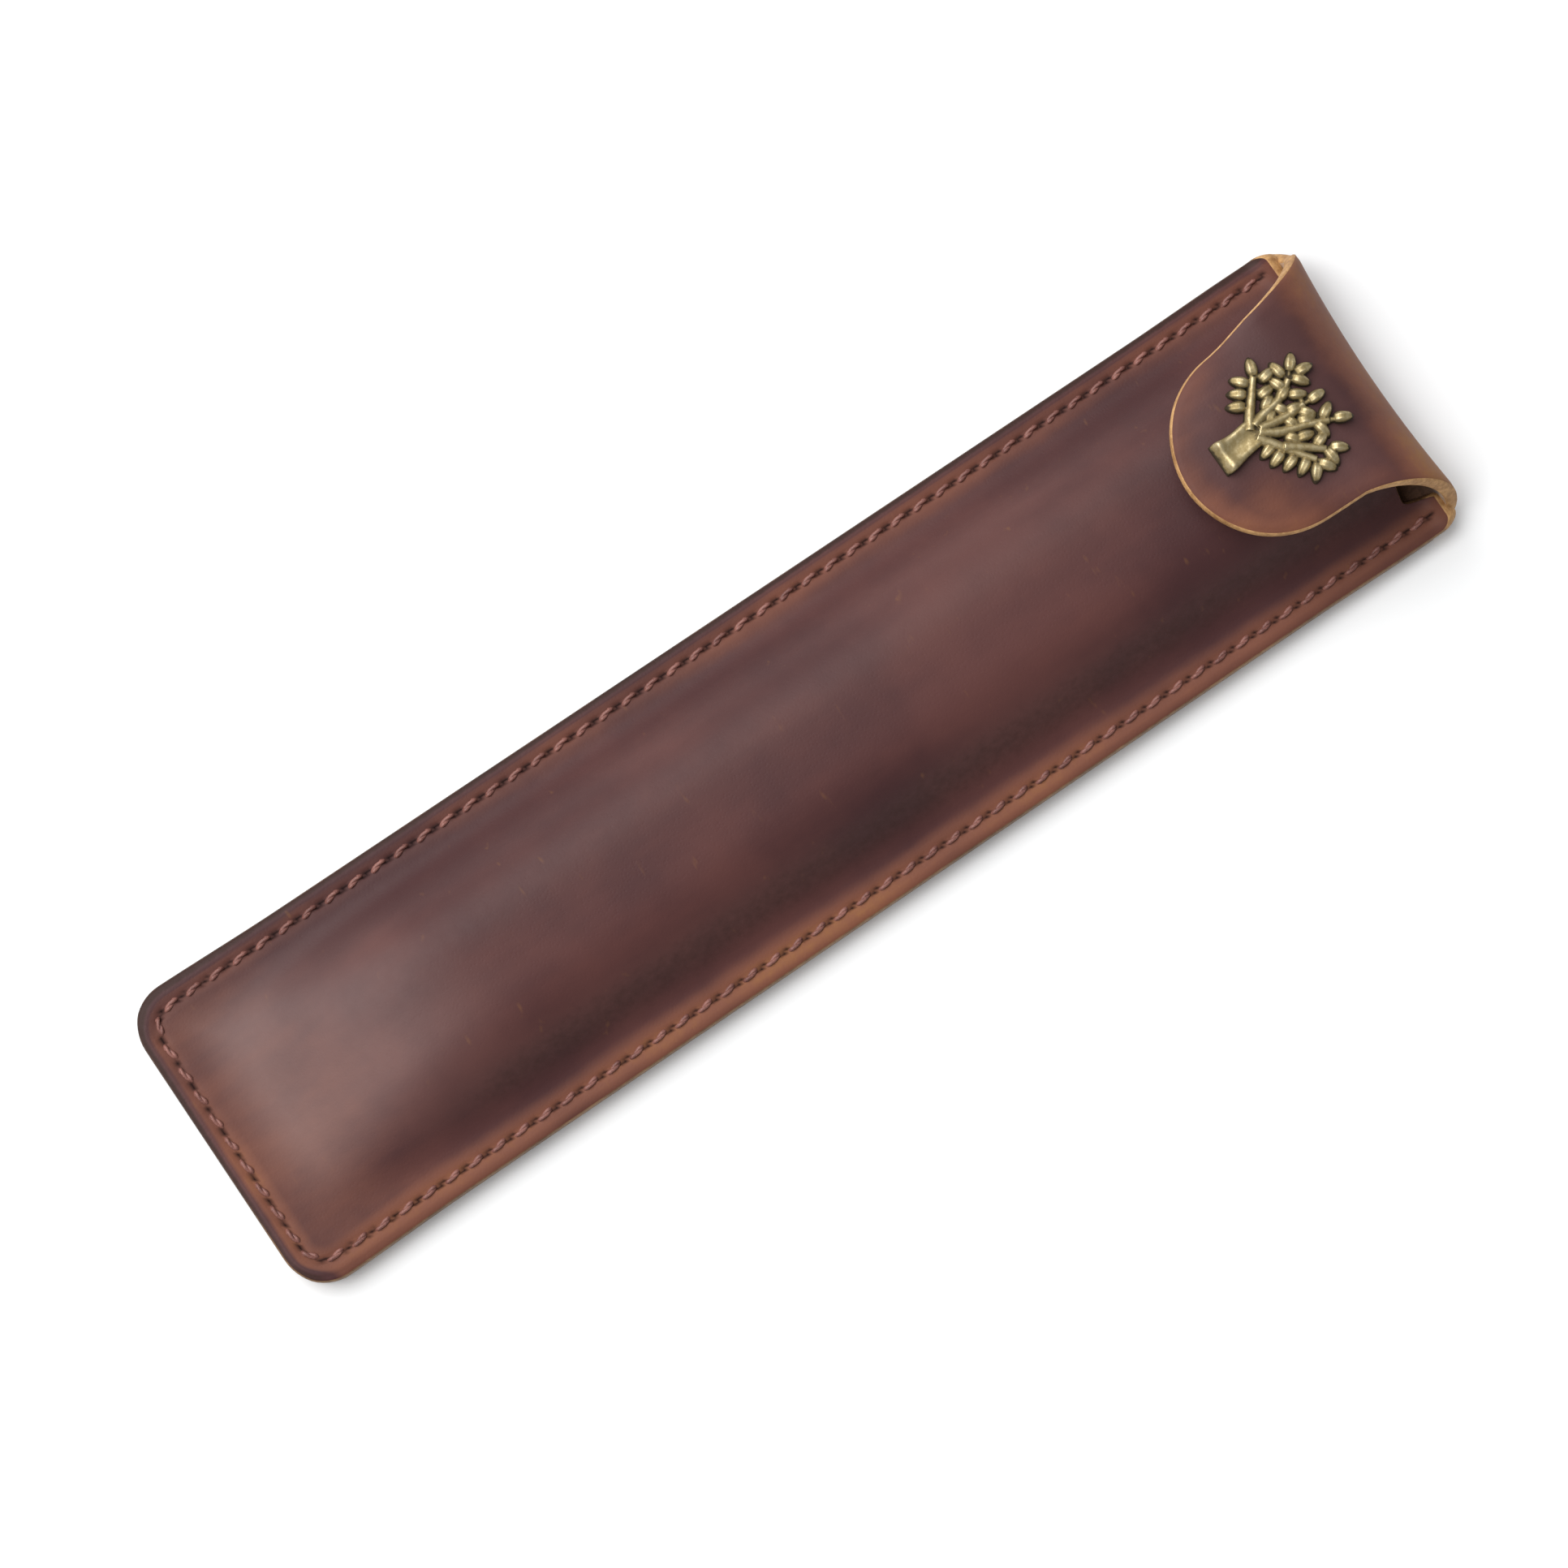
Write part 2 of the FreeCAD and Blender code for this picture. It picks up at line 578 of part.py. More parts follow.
def flap_tongue():
    """The flap's round tongue with the last stretch of the fold."""
    start = f"({SPLIT} + {hinge_trim(UPPER_R)})"
    low_outer, _, _, low_inner = ring_sector(UPPER_Y, UPPER_R, start, "90")
    centre = (UPPER_Y, FOLD_Z)
    section = free_sketch("flap_section", YZ, [
        (*low_outer, (*centre, "left")),
        (UPPER_Y, FLAP_TOP),
        (TIP_Y, FLAP_TOP),
        (TIP_Y, FLAP_UNDER),
        (UPPER_Y, FLAP_UNDER, (*centre, "right")),
        low_inner,
    ])
    bent = extrude("flap_bent", section, Vector(1, 0, 0), HALF_WIDTH, HALF_WIDTH)
    tongue, wide = cell("tongue_radius"), cell("fold_upper_half_width")
    round_y = f"({TIP_Y} + {tongue})"
    flare = f"({wide} - {tongue})"
    reach = f"({low_outer[0]} - {round_y})"
    flare_r = f"(({flare} * {flare} + {reach} * {reach}) / (2 * {flare}))"
    past = f"({HALF_LENGTH} + {OVERRUN})"
    outline = free_sketch("flap_outline", XY, [
        (f"-{wide}", past),
        (f"-{wide}", low_outer[0], (f"(-{tongue} - {flare_r})", round_y, "right")),
        (f"-{tongue}", round_y, ("0", round_y, "left")),
        ("0", TIP_Y, ("0", round_y, "left")),
        (tongue, round_y, (f"({tongue} + {flare_r})", round_y, "right")),
        (wide, low_outer[0]),
        (wide, past),
    ])
    shape = extrude("flap_shape", outline, Vector(0, 0, 1), f"({FLAP_TOP} + {OVERRUN})", "0")
    bore = f"{cell('boss_radius')} + {cell('boss_clearance')}"
    drill = upright_cylinder(
        "boss_drill", bore, SNAP_Y, f"{FLAP_UNDER} - {OVERRUN}", f"{HIDE} + 2 * {OVERRUN}"
    )
    return combine("Cut", "flap_tongue", combine("Common", "flap_blank", bent, shape), drill)


# Press stud: stud and rivet on the front panel, socket, spring and screw under the flap


def press_stud():
    """The turned pieces of the snap, on one axis."""
    bore = f"({cell('post_radius')} + {cell('rivet_clearance')})"
    foot = f"({CREST} + {cell('stud_foot')})"
    top = f"({CREST} + {cell('stud_height')})"
    waist = f"(({foot} + {top}) / 2)"
    flange, neck, head = cell("stud_flange_radius"), cell("stud_neck_radius"), cell("stud_radius")
    turned_body("snap_stud", SNAP_Y, [
        (bore, CREST), (flange, CREST), (flange, foot), (neck, foot), (neck, waist),
        (head, f"(({waist} + {top}) / 2)"), (neck, top), (bore, top),
    ])
    inside = f"({CREST} - {HIDE})"
    rivet_low = f"({inside} - {cell('post_flange')})"
    rivet_top = f"({top} - {cell('stud_foot')} / 2)"
    flange, shank = cell("post_flange_radius"), cell("post_radius")
    turned_body("stud_post", SNAP_Y, [
        ("0", rivet_low), (flange, rivet_low), (flange, inside), (shank, inside),
        (shank, rivet_top), ("0", rivet_top),
    ])
    wall = cell("socket_wall")
    base = f"({FLAP_UNDER} - {wall})"
    rim = f"({FLAP_UNDER} - {cell('socket_height')})"
    hole = f"({cell('screw_radius')} + {cell('rivet_clearance')})"
    cup, mouth = cell("socket_radius"), cell("socket_mouth_radius")
    cup_inside = f"({cup} - {wall})"
    turned_body("snap_socket", SNAP_Y, [
        (hole, base), (cup_inside, base), (cup_inside, f"({rim} + {wall})"), (mouth, f"({rim} + {wall})"),
        (mouth, rim), (cup, rim), (cup, FLAP_UNDER), (hole, FLAP_UNDER),
    ])
    head_low = f"({base} - {cell('screw_head')})"
    screw_top = f"({FLAP_UNDER} + {cell('screw_grip')})"
    head, shank = cell("screw_head_radius"), cell("screw_radius")
    turned_body("charm_screw", SNAP_Y, [
        ("0", head_low), (head, head_low), (head, base), (shank, base), (shank, screw_top), ("0", screw_top),
    ])
    spring = doc.addObject("Part::Torus", "socket_spring")
    spring.setExpression("Radius1", cell("spring_ring_radius"))
    spring.setExpression("Radius2", cell("spring_wire_radius"))
    spring.setExpression("Angle3", f"360 - {cell('spring_opening')}")
    spring.setExpression("Placement.Base.y", SNAP_Y)
    spring.setExpression("Placement.Base.z", f"{rim} + {wall} + {cell('spring_wire_radius')}")


# Tree charm: a flared trunk, tapering boughs and paired leaves, cast in one piece with its screw boss


def bough_and_leaves(index, shares):
    """One round bough with its end leaf and its pairs of side leaves, sunk a little into the flap's top."""
    width, height = cell("charm_width"), cell("charm_height")
    root_x, root_y = f"({ROOT_SPREAD_SHARE * shares[0]} * {width})", f"({CHARM_Y} - {CROTCH_SHARE} * {height})"
    run_x = f"({(1 - ROOT_SPREAD_SHARE) * shares[0]} * {width})"
    run_y = f"({CROTCH_SHARE + shares[1]} * {height})"
    heading = math.degrees(math.atan2(value(run_y), value(run_x)))
    ahead = Vector(value(run_x), value(run_y), 0)
    bough = doc.addObject("Part::Cone", f"bough_{index}")
    bough.setExpression("Radius1", cell("bough_root_radius"))
    bough.setExpression("Radius2", cell("bough_tip_radius"))
    bough.setExpression("Height", f"sqrt({run_x} * {run_x} + {run_y} * {run_y})")
    bough.Placement = FreeCAD.Placement(Vector(), FreeCAD.Rotation(Vector(0, 0, 1), ahead))
    place(bough, root_x, root_y, f"{FLAP_TOP} + {cell('bough_lift')}")
    pieces = [bough]
    standoff = f"({LEAF_STANDOFF_SHARE} * {cell('leaf_length')})"
    lean = 90 * LEAF_LEAN_SHARE
    stations = [(1, 0)] + [(share, side * lean) for share in LEAF_SHARES for side in (-1, 1)]
    for number, (share, turn) in enumerate(stations):
        angle = heading + turn
        leaf = doc.addObject("Part::Ellipsoid", f"leaf_{index}_{number}")
        leaf.setExpression("Radius1", cell("leaf_rise"))
        leaf.setExpression("Radius2", f"{cell('leaf_length')} / 2")
        leaf.setExpression("Radius3", f"{cell('leaf_width')} / 2")
        leaf.Placement = FreeCAD.Placement(Vector(), FreeCAD.Rotation(Vector(0, 0, 1), angle))
        place(
            leaf, f"{root_x} + {share} * {run_x} + {standoff} * cos({angle})",
            f"{root_y} + {share} * {run_y} + {standoff} * sin({angle})", f"{FLAP_TOP} + {cell('leaf_lift')}",
        )
        pieces.append(leaf)
    return pieces


def tree_charm():
    """The whole casting, flat on its back apart from the boss."""
    foot = f"({CHARM_Y} - {cell('charm_height')} / 2)"
    fork = f"({CHARM_Y} - {CROTCH_SHARE} * {cell('charm_height')})"
    neck = f"({foot} + {NECK_SHARE} * ({fork} - {foot}))"
    wide, slim = cell("trunk_foot_half_width"), cell("trunk_neck_half_width")
    head = f"({fork} + {slim} / 2)"
    trunk_outline = free_sketch("trunk_outline", XY, [
        (f"-{wide}", foot), (wide, foot), (slim, neck), (wide, head), (f"-{wide}", head), (f"-{slim}", neck),
    ])
    bark = f"({FLAP_TOP} + {cell('trunk_depth')})"
    trunk = extrude("trunk", trunk_outline, Vector(0, 0, 1), bark, f"-{FLAP_TOP}")
    pieces = []
    for index, shares in enumerate(BOUGH_END_SHARES):
        pieces += bough_and_leaves(index, shares)
    crown = doc.addObject("Part::MultiFuse", "crown")
    crown.Shapes = pieces
    crown.Refine = False
    under = doc.addObject("Part::Box", "under_charm")
    under.setExpression("Length", f"2 * {cell('charm_width')}")
    under.setExpression("Width", f"2 * {cell('charm_height')}")
    under.setExpression("Height", OVERRUN)
    place(under, f"-{cell('charm_width')}", f"{CHARM_Y} - {cell('charm_height')}", f"{FLAP_TOP} - {OVERRUN}")
    flat = combine("Cut", "crown_flat", crown, under)
    boss_height = f"{HIDE} + {cell('trunk_depth')} / 2"
    boss = upright_cylinder("charm_boss", cell("boss_radius"), SNAP_Y, FLAP_UNDER, boss_height)
    tap = upright_cylinder(
        "boss_tap", f"{cell('screw_radius')} + {cell('rivet_clearance')}", SNAP_Y, f"{FLAP_UNDER} - {OVERRUN}",
        f"{OVERRUN} + {cell('screw_grip')} + {cell('rivet_clearance')}",
    )
    casting = doc.addObject("Part::MultiFuse", "tree_charm")
    casting.Shapes = [flat, trunk, combine("Cut", "tapped_boss", boss, tap)]
    casting.Refine = False
    return casting


NODES = [
    "front_panel", "back_panel", "flap_fold", "flap_tongue",
    "left_seam_thread", "bottom_seam_thread", "right_seam_thread",
    "tree_charm", "charm_screw", "snap_socket", "socket_spring", "snap_stud", "stud_post",
]

slit_tool = slits("stitch_slits")
seam_threads()
front_panel(slit_tool)
back_panel(slit_tool)
flap_fold()
flap_tongue()
press_stud()
tree_charm()
doc.recompute()

for item in doc.Objects:
    if "Invalid" in item.State or "Error" in item.State:
        raise RuntimeError(f"{item.Name} failed: {item.State}")

os.makedirs("parts", exist_ok=True)
for node in NODES:
    piece = doc.getObject(node)
    piece.Label = node
    if piece.Shape.isNull() or not piece.Shape.isValid():
        raise RuntimeError(f"{node} has no valid shape")
    if len(piece.Shape.Solids) != 1 and not node.endswith("thread"):
        raise RuntimeError(f"{node} has come apart into {len(piece.Shape.Solids)} solids")
    piece.Shape.exportStep(f"parts/{node}.step")
    box = piece.Shape.BoundBox
    print(f"{node}: {len(piece.Shape.Solids)} solids, {piece.Shape.Volume:.2f} mm3, "
          f"x {box.XMin:.2f} {box.XMax:.2f}, y {box.YMin:.2f} {box.YMax:.2f}, z {box.ZMin:.2f} {box.ZMax:.2f}")
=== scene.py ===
"""Leather sleeve for one pen: hides, sewn seams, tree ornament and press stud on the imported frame."""

import logging
import math
from dataclasses import dataclass, field
from enum import Enum

import bmesh
import bpy
import numpy as np
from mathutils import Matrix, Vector

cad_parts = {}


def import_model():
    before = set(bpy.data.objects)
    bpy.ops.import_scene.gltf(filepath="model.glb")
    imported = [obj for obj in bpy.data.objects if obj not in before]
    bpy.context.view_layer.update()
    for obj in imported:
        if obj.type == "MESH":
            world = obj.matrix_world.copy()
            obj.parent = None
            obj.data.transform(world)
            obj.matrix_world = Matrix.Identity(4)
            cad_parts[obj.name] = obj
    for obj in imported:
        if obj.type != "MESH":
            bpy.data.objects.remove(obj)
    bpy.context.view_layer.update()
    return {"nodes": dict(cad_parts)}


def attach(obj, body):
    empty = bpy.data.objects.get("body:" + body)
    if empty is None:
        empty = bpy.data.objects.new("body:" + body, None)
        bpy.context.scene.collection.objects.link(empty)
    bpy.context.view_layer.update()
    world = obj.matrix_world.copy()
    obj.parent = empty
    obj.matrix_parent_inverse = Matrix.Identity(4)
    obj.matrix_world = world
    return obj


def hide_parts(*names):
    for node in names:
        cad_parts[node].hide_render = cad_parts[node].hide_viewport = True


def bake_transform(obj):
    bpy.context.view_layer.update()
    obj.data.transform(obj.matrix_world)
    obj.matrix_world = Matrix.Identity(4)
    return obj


LOG = logging.getLogger("pen_sleeve")
MM = 0.001
QUARTER = math.pi / 2.0
Triple = tuple[float, float, float]
Colour = Triple
Point = tuple[float, float]
Band = tuple[float, float]
Face = tuple[int, ...]
Solid = tuple[np.ndarray, list[Face]]
Sockets = dict[str | int, object]


class Slot(Enum):
    """Material slots of the record."""

    HIDE = "hide"
    THREAD = "thread"
    BRASS = "antique_brass"


class Body(Enum):
    """Moving bodies of the frame."""

    SLEEVE = "sleeve"
    FOLD = "fold"
    FLAP = "flap"


class Side(Enum):
    """Faces of a hide, as material indices."""

    GRAIN = 0
    FLESH = 1
    EDGE = 2


# Small curves


def ease(t: np.ndarray) -> np.ndarray:
    """Smooth step of t from 0 to 1."""
    t = np.clip(t, 0.0, 1.0)
    return t * t * (3.0 - 2.0 * t)


def rise(values: np.ndarray, band: Band) -> np.ndarray:
    """Smooth step from 0 at the start of a band to 1 at its end; a band is a start and a length."""
    return ease((values - band[0]) / band[1])


def fall(values: np.ndarray, band: Band) -> np.ndarray:
    """Smooth step from 1 at the start of a band to 0 at its end."""
    return 1.0 - rise(values, band)


def bell(values: np.ndarray, middle: float, spread: float) -> np.ndarray:
    """Bell curve that is 1 at its middle."""
    return np.exp(-(((values - middle) / spread) ** 2))


def smooth_rows(rows: np.ndarray, passes: int) -> np.ndarray:
    """Average each inner row with its neighbours, in place.

    Args:
        rows: Numbers or points in order.
        passes: How many times.

    Returns:
        The same rows.
    """
    for _ in range(passes):
        rows[1:-1] = (rows[:-2] + 2.0 * rows[1:-1] + rows[2:]) / 4.0
    return rows


def draw_through(knots: tuple, count: int, passes: int) -> np.ndarray:
    """Rows drawn smoothly through a few knots.

    Args:
        knots: Rows to pass near.
        count: Number of rows to make.
        passes: How often they are smoothed.

    Returns:
        The rows.
    """
    table = np.array(knots)
    places = np.linspace(0.0, len(table) - 1.0, count)
    columns = [np.interp(places, np.arange(len(table)), column) for column in table.T]
    return smooth_rows(np.stack(columns, axis=1), passes)


# Shader graphs


class Value:
    """A socket of a shader graph, on which Python's operators add Math nodes."""

    def __init__(self, graph: "Graph", socket: bpy.types.NodeSocket) -> None:
        """Keep the graph and the output socket."""
        self.graph = graph
        self.socket = socket

    def _math(self, operation: str, *inputs: object) -> "Value":
        """Add one Math node."""
        node = self.graph.node("ShaderNodeMath", {"operation": operation}, dict(enumerate(inputs)))
        return self.graph.out(node)

    def __add__(self, other: object) -> "Value":
        """Sum."""
        return self._math("ADD", self, other)

    def __radd__(self, other: object) -> "Value":
        """Sum with a number first."""
        return self._math("ADD", other, self)

    def __sub__(self, other: object) -> "Value":
        """Difference."""
        return self._math("SUBTRACT", self, other)

    def __rsub__(self, other: object) -> "Value":
        """Difference with a number first."""
        return self._math("SUBTRACT", other, self)

    def __mul__(self, other: object) -> "Value":
        """Product."""
        return self._math("MULTIPLY", self, other)

    def __rmul__(self, other: object) -> "Value":
        """Product with a number first."""
        return self._math("MULTIPLY", other, self)

    def most(self, other: object) -> "Value":
        """Greater of two values."""
        return self._math("MAXIMUM", self, other)

    def swing(self, amount: float) -> "Value":
        """A noise's swing about its middle, by an amount."""
        return (self - 0.5) * amount

    def ramp(self, low: float, high: float) -> "Value":
        """Smooth 0 to 1 between a low and a high value."""
        sockets = {"Value": self, "From Min": low, "From Max": high}
        return self.graph.out(
            self.graph.node("ShaderNodeMapRange", {"interpolation_type": "SMOOTHSTEP"}, sockets)
        )


class Graph:
    """Node tree of one material."""

    def __init__(self, name: str) -> None:
        """Start an empty material with an output.

        Args:
            name: Name of the material.
        """
        self.material = bpy.data.materials.new(name)
        self.material.use_nodes = True
        self.tree = self.material.node_tree
        self.tree.nodes.clear()
        self.output = self.node("ShaderNodeOutputMaterial", {}, {})

    def node(self, kind: str, settings: dict[str, object], sockets: Sockets) -> bpy.types.Node:
        """Add a node, set it up and link or fill its sockets.

        Args:
            kind: Type of the node.
            settings: Properties, set first.
            sockets: Values or links by socket name or number.

        Returns:
            The node.
        """
        node = self.tree.nodes.new(kind)
        for key, setting in settings.items():
            setattr(node, key, setting)
        for key, entry in sockets.items():
            socket = node.inputs[key]
            if isinstance(entry, Value):
                self.tree.links.new(entry.socket, socket)
            elif isinstance(entry, tuple) and len(entry) == 3 and socket.type == "RGBA":
                socket.default_value = (*entry, 1.0)
            else:
                socket.default_value = entry
        return node

    def out(self, node: bpy.types.Node, name: str | int = 0) -> Value:
        """An output of a node as a value."""
        return Value(self, node.outputs[name])

    def place(self) -> Value:
        """Object coordinates."""
        return self.out(self.node("ShaderNodeTexCoord", {}, {}), "Object")

    def stretched(self, spot: Value, factors: Triple) -> Value:
        """Coordinates with a factor on each axis."""
        sockets = {0: spot, 1: factors}
        return self.out(self.node("ShaderNodeVectorMath", {"operation": "MULTIPLY"}, sockets))

    def noise(self, spot: Value, scale: float, detail: float = 3.0, rough: float = 0.55) -> Value:
        """Noise of about 0.5, with features per metre, octaves and the weight of the finer ones."""
        sockets = {"Vector": spot, "Scale": scale, "Detail": detail, "Roughness": rough}
        return self.out(self.node("ShaderNodeTexNoise", {}, sockets), "Fac")

    def cells(self, spot: Value, scale: float) -> Value:
        """Distance from the middles of a field of cells, so many per metre."""
        return self.out(self.node("ShaderNodeTexVoronoi", {}, {"Vector": spot, "Scale": scale}), "Distance")

    def attribute(self, name: str) -> Value:
        """A number stored on the mesh's points."""
        return self.out(self.node("ShaderNodeAttribute", {"attribute_name": name}, {}), "Fac")

    def blend(self, low: object, high: object, factor: object) -> Value:
        """Mix a low and a high colour by a factor."""
        node = self.node("ShaderNodeMix", {"data_type": "RGBA"}, {0: factor, 6: low, 7: high})
        return self.out(node, 2)

    def bump(self, height: Value, strength: float, distance: float) -> Value:
        """Normal from a height, with the share of its effect and the metres for a height of 1."""
        sockets = {"Height": height, "Strength": strength, "Distance": distance}
        return self.out(self.node("ShaderNodeBump", {}, sockets))

    def surface(self, sockets: Sockets) -> bpy.types.Material:
        """Finish the material with one Principled shader.

        Args:
            sockets: Values or links of the shader.

        Returns:
            The material.
        """
        shader = self.node("ShaderNodeBsdfPrincipled", {}, sockets)
        self.tree.links.new(shader.outputs[0], self.output.inputs["Surface"])
        return self.material


# Finishes


@dataclass(frozen=True)
class GrainFinish:
    """Waxed pull-up leather: dark in the body, warm and pale where it is bent or rubbed, with painted shade
    where the pull number is below 0 and a painted pale sheen where the wax coat lies.
    """

    name: str = "hide_grain"
    # burn_and_shade is burnished dark at the cut edges and painted shade in the crease and along the shaded
    # rims
    burn_and_shade: Colour = (0.036, 0.0140, 0.0105)
    deep: Colour = (0.046, 0.0180, 0.0200)
    body: Colour = (0.100, 0.0370, 0.0330)
    warm: Colour = (0.208, 0.0760, 0.0430)
    pulled: Colour = (0.315, 0.1480, 0.0380)
    # painted_sheen is a painted pale sheen, standing for the lamps' soft reflection on the waxed body
    painted_sheen: Colour = (0.250, 0.1450, 0.1300)
    # slit is near-black painted shade inside the stitching holes
    slit: Colour = (0.010, 0.004, 0.004)
    gloss: float = 0.50
    coat: float = 0.24

    def material(self) -> bpy.types.Material:
        """Build the material.

        Returns:
            The material.
        """
        graph = Graph(self.name)
        spot = graph.place()
        clouds = graph.noise(spot, 38.0, 4.0)
        streaks = graph.noise(graph.stretched(spot, (1.0, 0.22, 1.0)), 160.0, 4.0, 0.6)
        specks = graph.noise(spot, 900.0, 3.0, 0.6)
        pores = graph.cells(spot, 2300.0)
        scuffs = graph.noise(graph.stretched(spot, (0.35, 1.0, 1.0)), 520.0, 2.0, 0.7)
        pull_and_shade, slit, wax_and_sheen = (graph.attribute(name) for name in ("pull_and_shade", "slit", "wax_and_sheen"))
        tone = (clouds * 0.75 + streaks * 0.25).ramp(0.36, 0.66)
        worn = pull_and_shade + streaks.swing(0.45) + clouds.swing(0.55)
        colour = graph.blend(self.deep, self.body, tone * 0.75 + 0.25)
        colour = graph.blend(colour, self.warm, worn.ramp(0.08, 0.75))
        colour = graph.blend(colour, self.pulled, (worn + specks.swing(0.3)).ramp(0.50, 1.15))
        colour = graph.blend(colour, self.pulled, scuffs.ramp(0.66, 0.80) * 0.16)
        # Burnishing and painted shade: this colour shows where pull_and_shade is below 0, at the cut edges,
        # in the dome's right-hand crease and along the left and closed-end rims
        colour = graph.blend(colour, self.burn_and_shade, (specks.swing(0.3) - pull_and_shade).ramp(0.12, 0.60))
        # Painted sheen: pale grey-brown mixed in by the wax_and_sheen number, which also sets the real wax
        # coat
        colour = graph.blend(colour, self.painted_sheen, wax_and_sheen * (0.34 + clouds.swing(0.5)))
        # Painted shade: near-black inside the stitching slits
        colour = graph.blend(colour, self.slit, slit)
        worn_rough = slit * 0.4 + pull_and_shade.most(0.0) * 0.16
        height = pores.ramp(0.0, 0.55) * 0.55 + specks * 0.35 + scuffs.ramp(0.6, 0.8) * 0.25
        return graph.surface({
            "Base Color": colour,
            "Roughness": self.gloss + clouds.swing(0.20) + specks.swing(0.16) + worn_rough,
            "Specular IOR Level": 0.18,
            "Coat Weight": wax_and_sheen * self.coat,
            "Coat Roughness": 0.42,
            "Normal": graph.bump(height, 0.22, 0.00008),
        })


@dataclass(frozen=True)
class FleshFinish:
    """Brushed inner side of the leather: dark inside, partly as painted shade of the sleeve's inside, and tan
    near its cut edges.
    """

    name: str = "hide_flesh"
    low: Colour = (0.062, 0.030, 0.018)
    high: Colour = (0.130, 0.066, 0.037)
    rim_low: Colour = (0.300, 0.160, 0.072)
    rim_high: Colour = (0.520, 0.310, 0.150)

    def material(self) -> bpy.types.Material:
        """Build the material.

        Returns:
            The material.
        """
        graph = Graph(self.name)
        spot = graph.place()
        nap = graph.noise(spot, 1600.0, 4.0, 0.7)
        patch = graph.noise(spot, 70.0, 3.0)
        fibres = graph.noise(graph.stretched(spot, (1.0, 0.3, 1.0)), 700.0, 3.0, 0.7)
        mask = (nap * 0.5 + patch * 0.3 + fibres * 0.2).ramp(0.32, 0.68)
        border = (graph.attribute("pull_and_shade") + patch.swing(0.4)).ramp(0.15, 0.85)
        # The dark low and high colours stand partly for painted shade inside the sleeve; the rim colours are
        # the flesh's tan at the cut edges
        colour = graph.blend(self.low, self.high, mask)
        colour = graph.blend(colour, graph.blend(self.rim_low, self.rim_high, mask), border)
        return graph.surface({
            "Base Color": colour,
            "Roughness": 0.86 + nap.swing(0.2),
            "Specular IOR Level": 0.25,
            "Sheen Weight": 0.25,
            "Sheen Roughness": 0.5,
            "Normal": graph.bump(nap * 0.7 + fibres * 0.5, 0.6, 0.00025),
        })


@dataclass(frozen=True)
class EdgeFinish:
    """Cut edge of the leather: burnished dark where it is sewn, left raw and tan round the flap."""

    name: str = "hide_edge"
    burnished_low: Colour = (0.024, 0.011, 0.007)
    burnished_high: Colour = (0.085, 0.038, 0.020)
    raw_low: Colour = (0.290, 0.140, 0.048)
    raw_high: Colour = (0.590, 0.338, 0.138)

    def material(self) -> bpy.types.Material:
        """Build the material.

        Returns:
            The material.
        """
        graph = Graph(self.name)
        spot = graph.place()
        fibres = graph.noise(spot, 1300.0, 4.0, 0.7)
        patch = graph.noise(spot, 140.0, 3.0)
        raw = graph.attribute("raw")
        mask = (fibres * 0.55 + patch * 0.45).ramp(0.34, 0.66)
        burnished = graph.blend(self.burnished_low, self.burnished_high, mask)
        cut = graph.blend(self.raw_low, self.raw_high, mask)
        return graph.surface({
            "Base Color": graph.blend(burnished, cut, raw),
            "Roughness": 0.44 + raw * 0.22 + fibres.swing(0.25),
            "Specular IOR Level": 0.35,
            "Normal": graph.bump(fibres, 0.5, 0.00015),
        })


@dataclass(frozen=True)
class ThreadFinish:
    """Waxed thread."""

    name: str = "waxed_thread"
    low: Colour = (0.120, 0.044, 0.036)
    high: Colour = (0.300, 0.128, 0.102)

    def material(self) -> bpy.types.Material:
        """Build the material.

        Returns:
            The material.
        """
        graph = Graph(self.name)
        spot = graph.place()
        fibres = graph.noise(spot, 4200.0, 3.0, 0.65)
        patch = graph.noise(spot, 260.0, 2.0)
        return graph.surface({
            "Base Color": graph.blend(self.low, self.high, (fibres * 0.5 + patch * 0.5).ramp(0.3, 0.7)),
            "Roughness": 0.48 + fibres.swing(0.3),
            "Specular IOR Level": 0.45,
            "Normal": graph.bump(fibres, 0.5, 0.00006),
        })


@dataclass(frozen=True)
class BrassFinish:
    """Brass, dark in its hollows and rubbed bright on top, or evenly worn where it isn't cast; on the casting
    the darkness on its sides and round its base is painted shade, and the bright tops are partly a painted
    highlight.
    """

    name: str
    bright: Colour = (0.62, 0.51, 0.30)
    worn: Colour = (0.33, 0.250, 0.115)
    hollow: Colour = (0.050, 0.035, 0.017)
    gloss: float = 0.40
    cast: bool = True

    def material(self) -> bpy.types.Material:
        """Build the material.

        Returns:
            The material.
        """
        graph = Graph(self.name)
        spot = graph.place()
        grains = graph.noise(spot, 1400.0, 4.0, 0.6)
        patch = graph.noise(spot, 240.0, 3.0)
        if self.cast:
            # rub_and_shade holds wear on proud tops, with painted shade on the sides and round the base
            rubbed = (graph.attribute("rub_and_shade") + grains.swing(0.55) + patch.swing(0.3)).ramp(0.18, 0.82)
        else:
            rubbed = (patch * 0.6 + grains * 0.4).ramp(0.30, 0.56)
        # hollow is patina in the hollows and also painted shade; bright is rubbed wear and partly a painted
        # highlight on the tops
        colour = graph.blend(self.hollow, self.worn, rubbed.ramp(0.0, 0.45))
        colour = graph.blend(colour, self.bright, rubbed.ramp(0.45, 1.0))
        return graph.surface({
            "Base Color": colour,
            "Metallic": 0.55 + rubbed * 0.45,
            "Roughness": self.gloss + (1.0 - rubbed) * 0.35 + grains.swing(0.16),
            "Normal": graph.bump(grains * 0.7 + patch * 0.3, 0.3, 0.00010),
        })


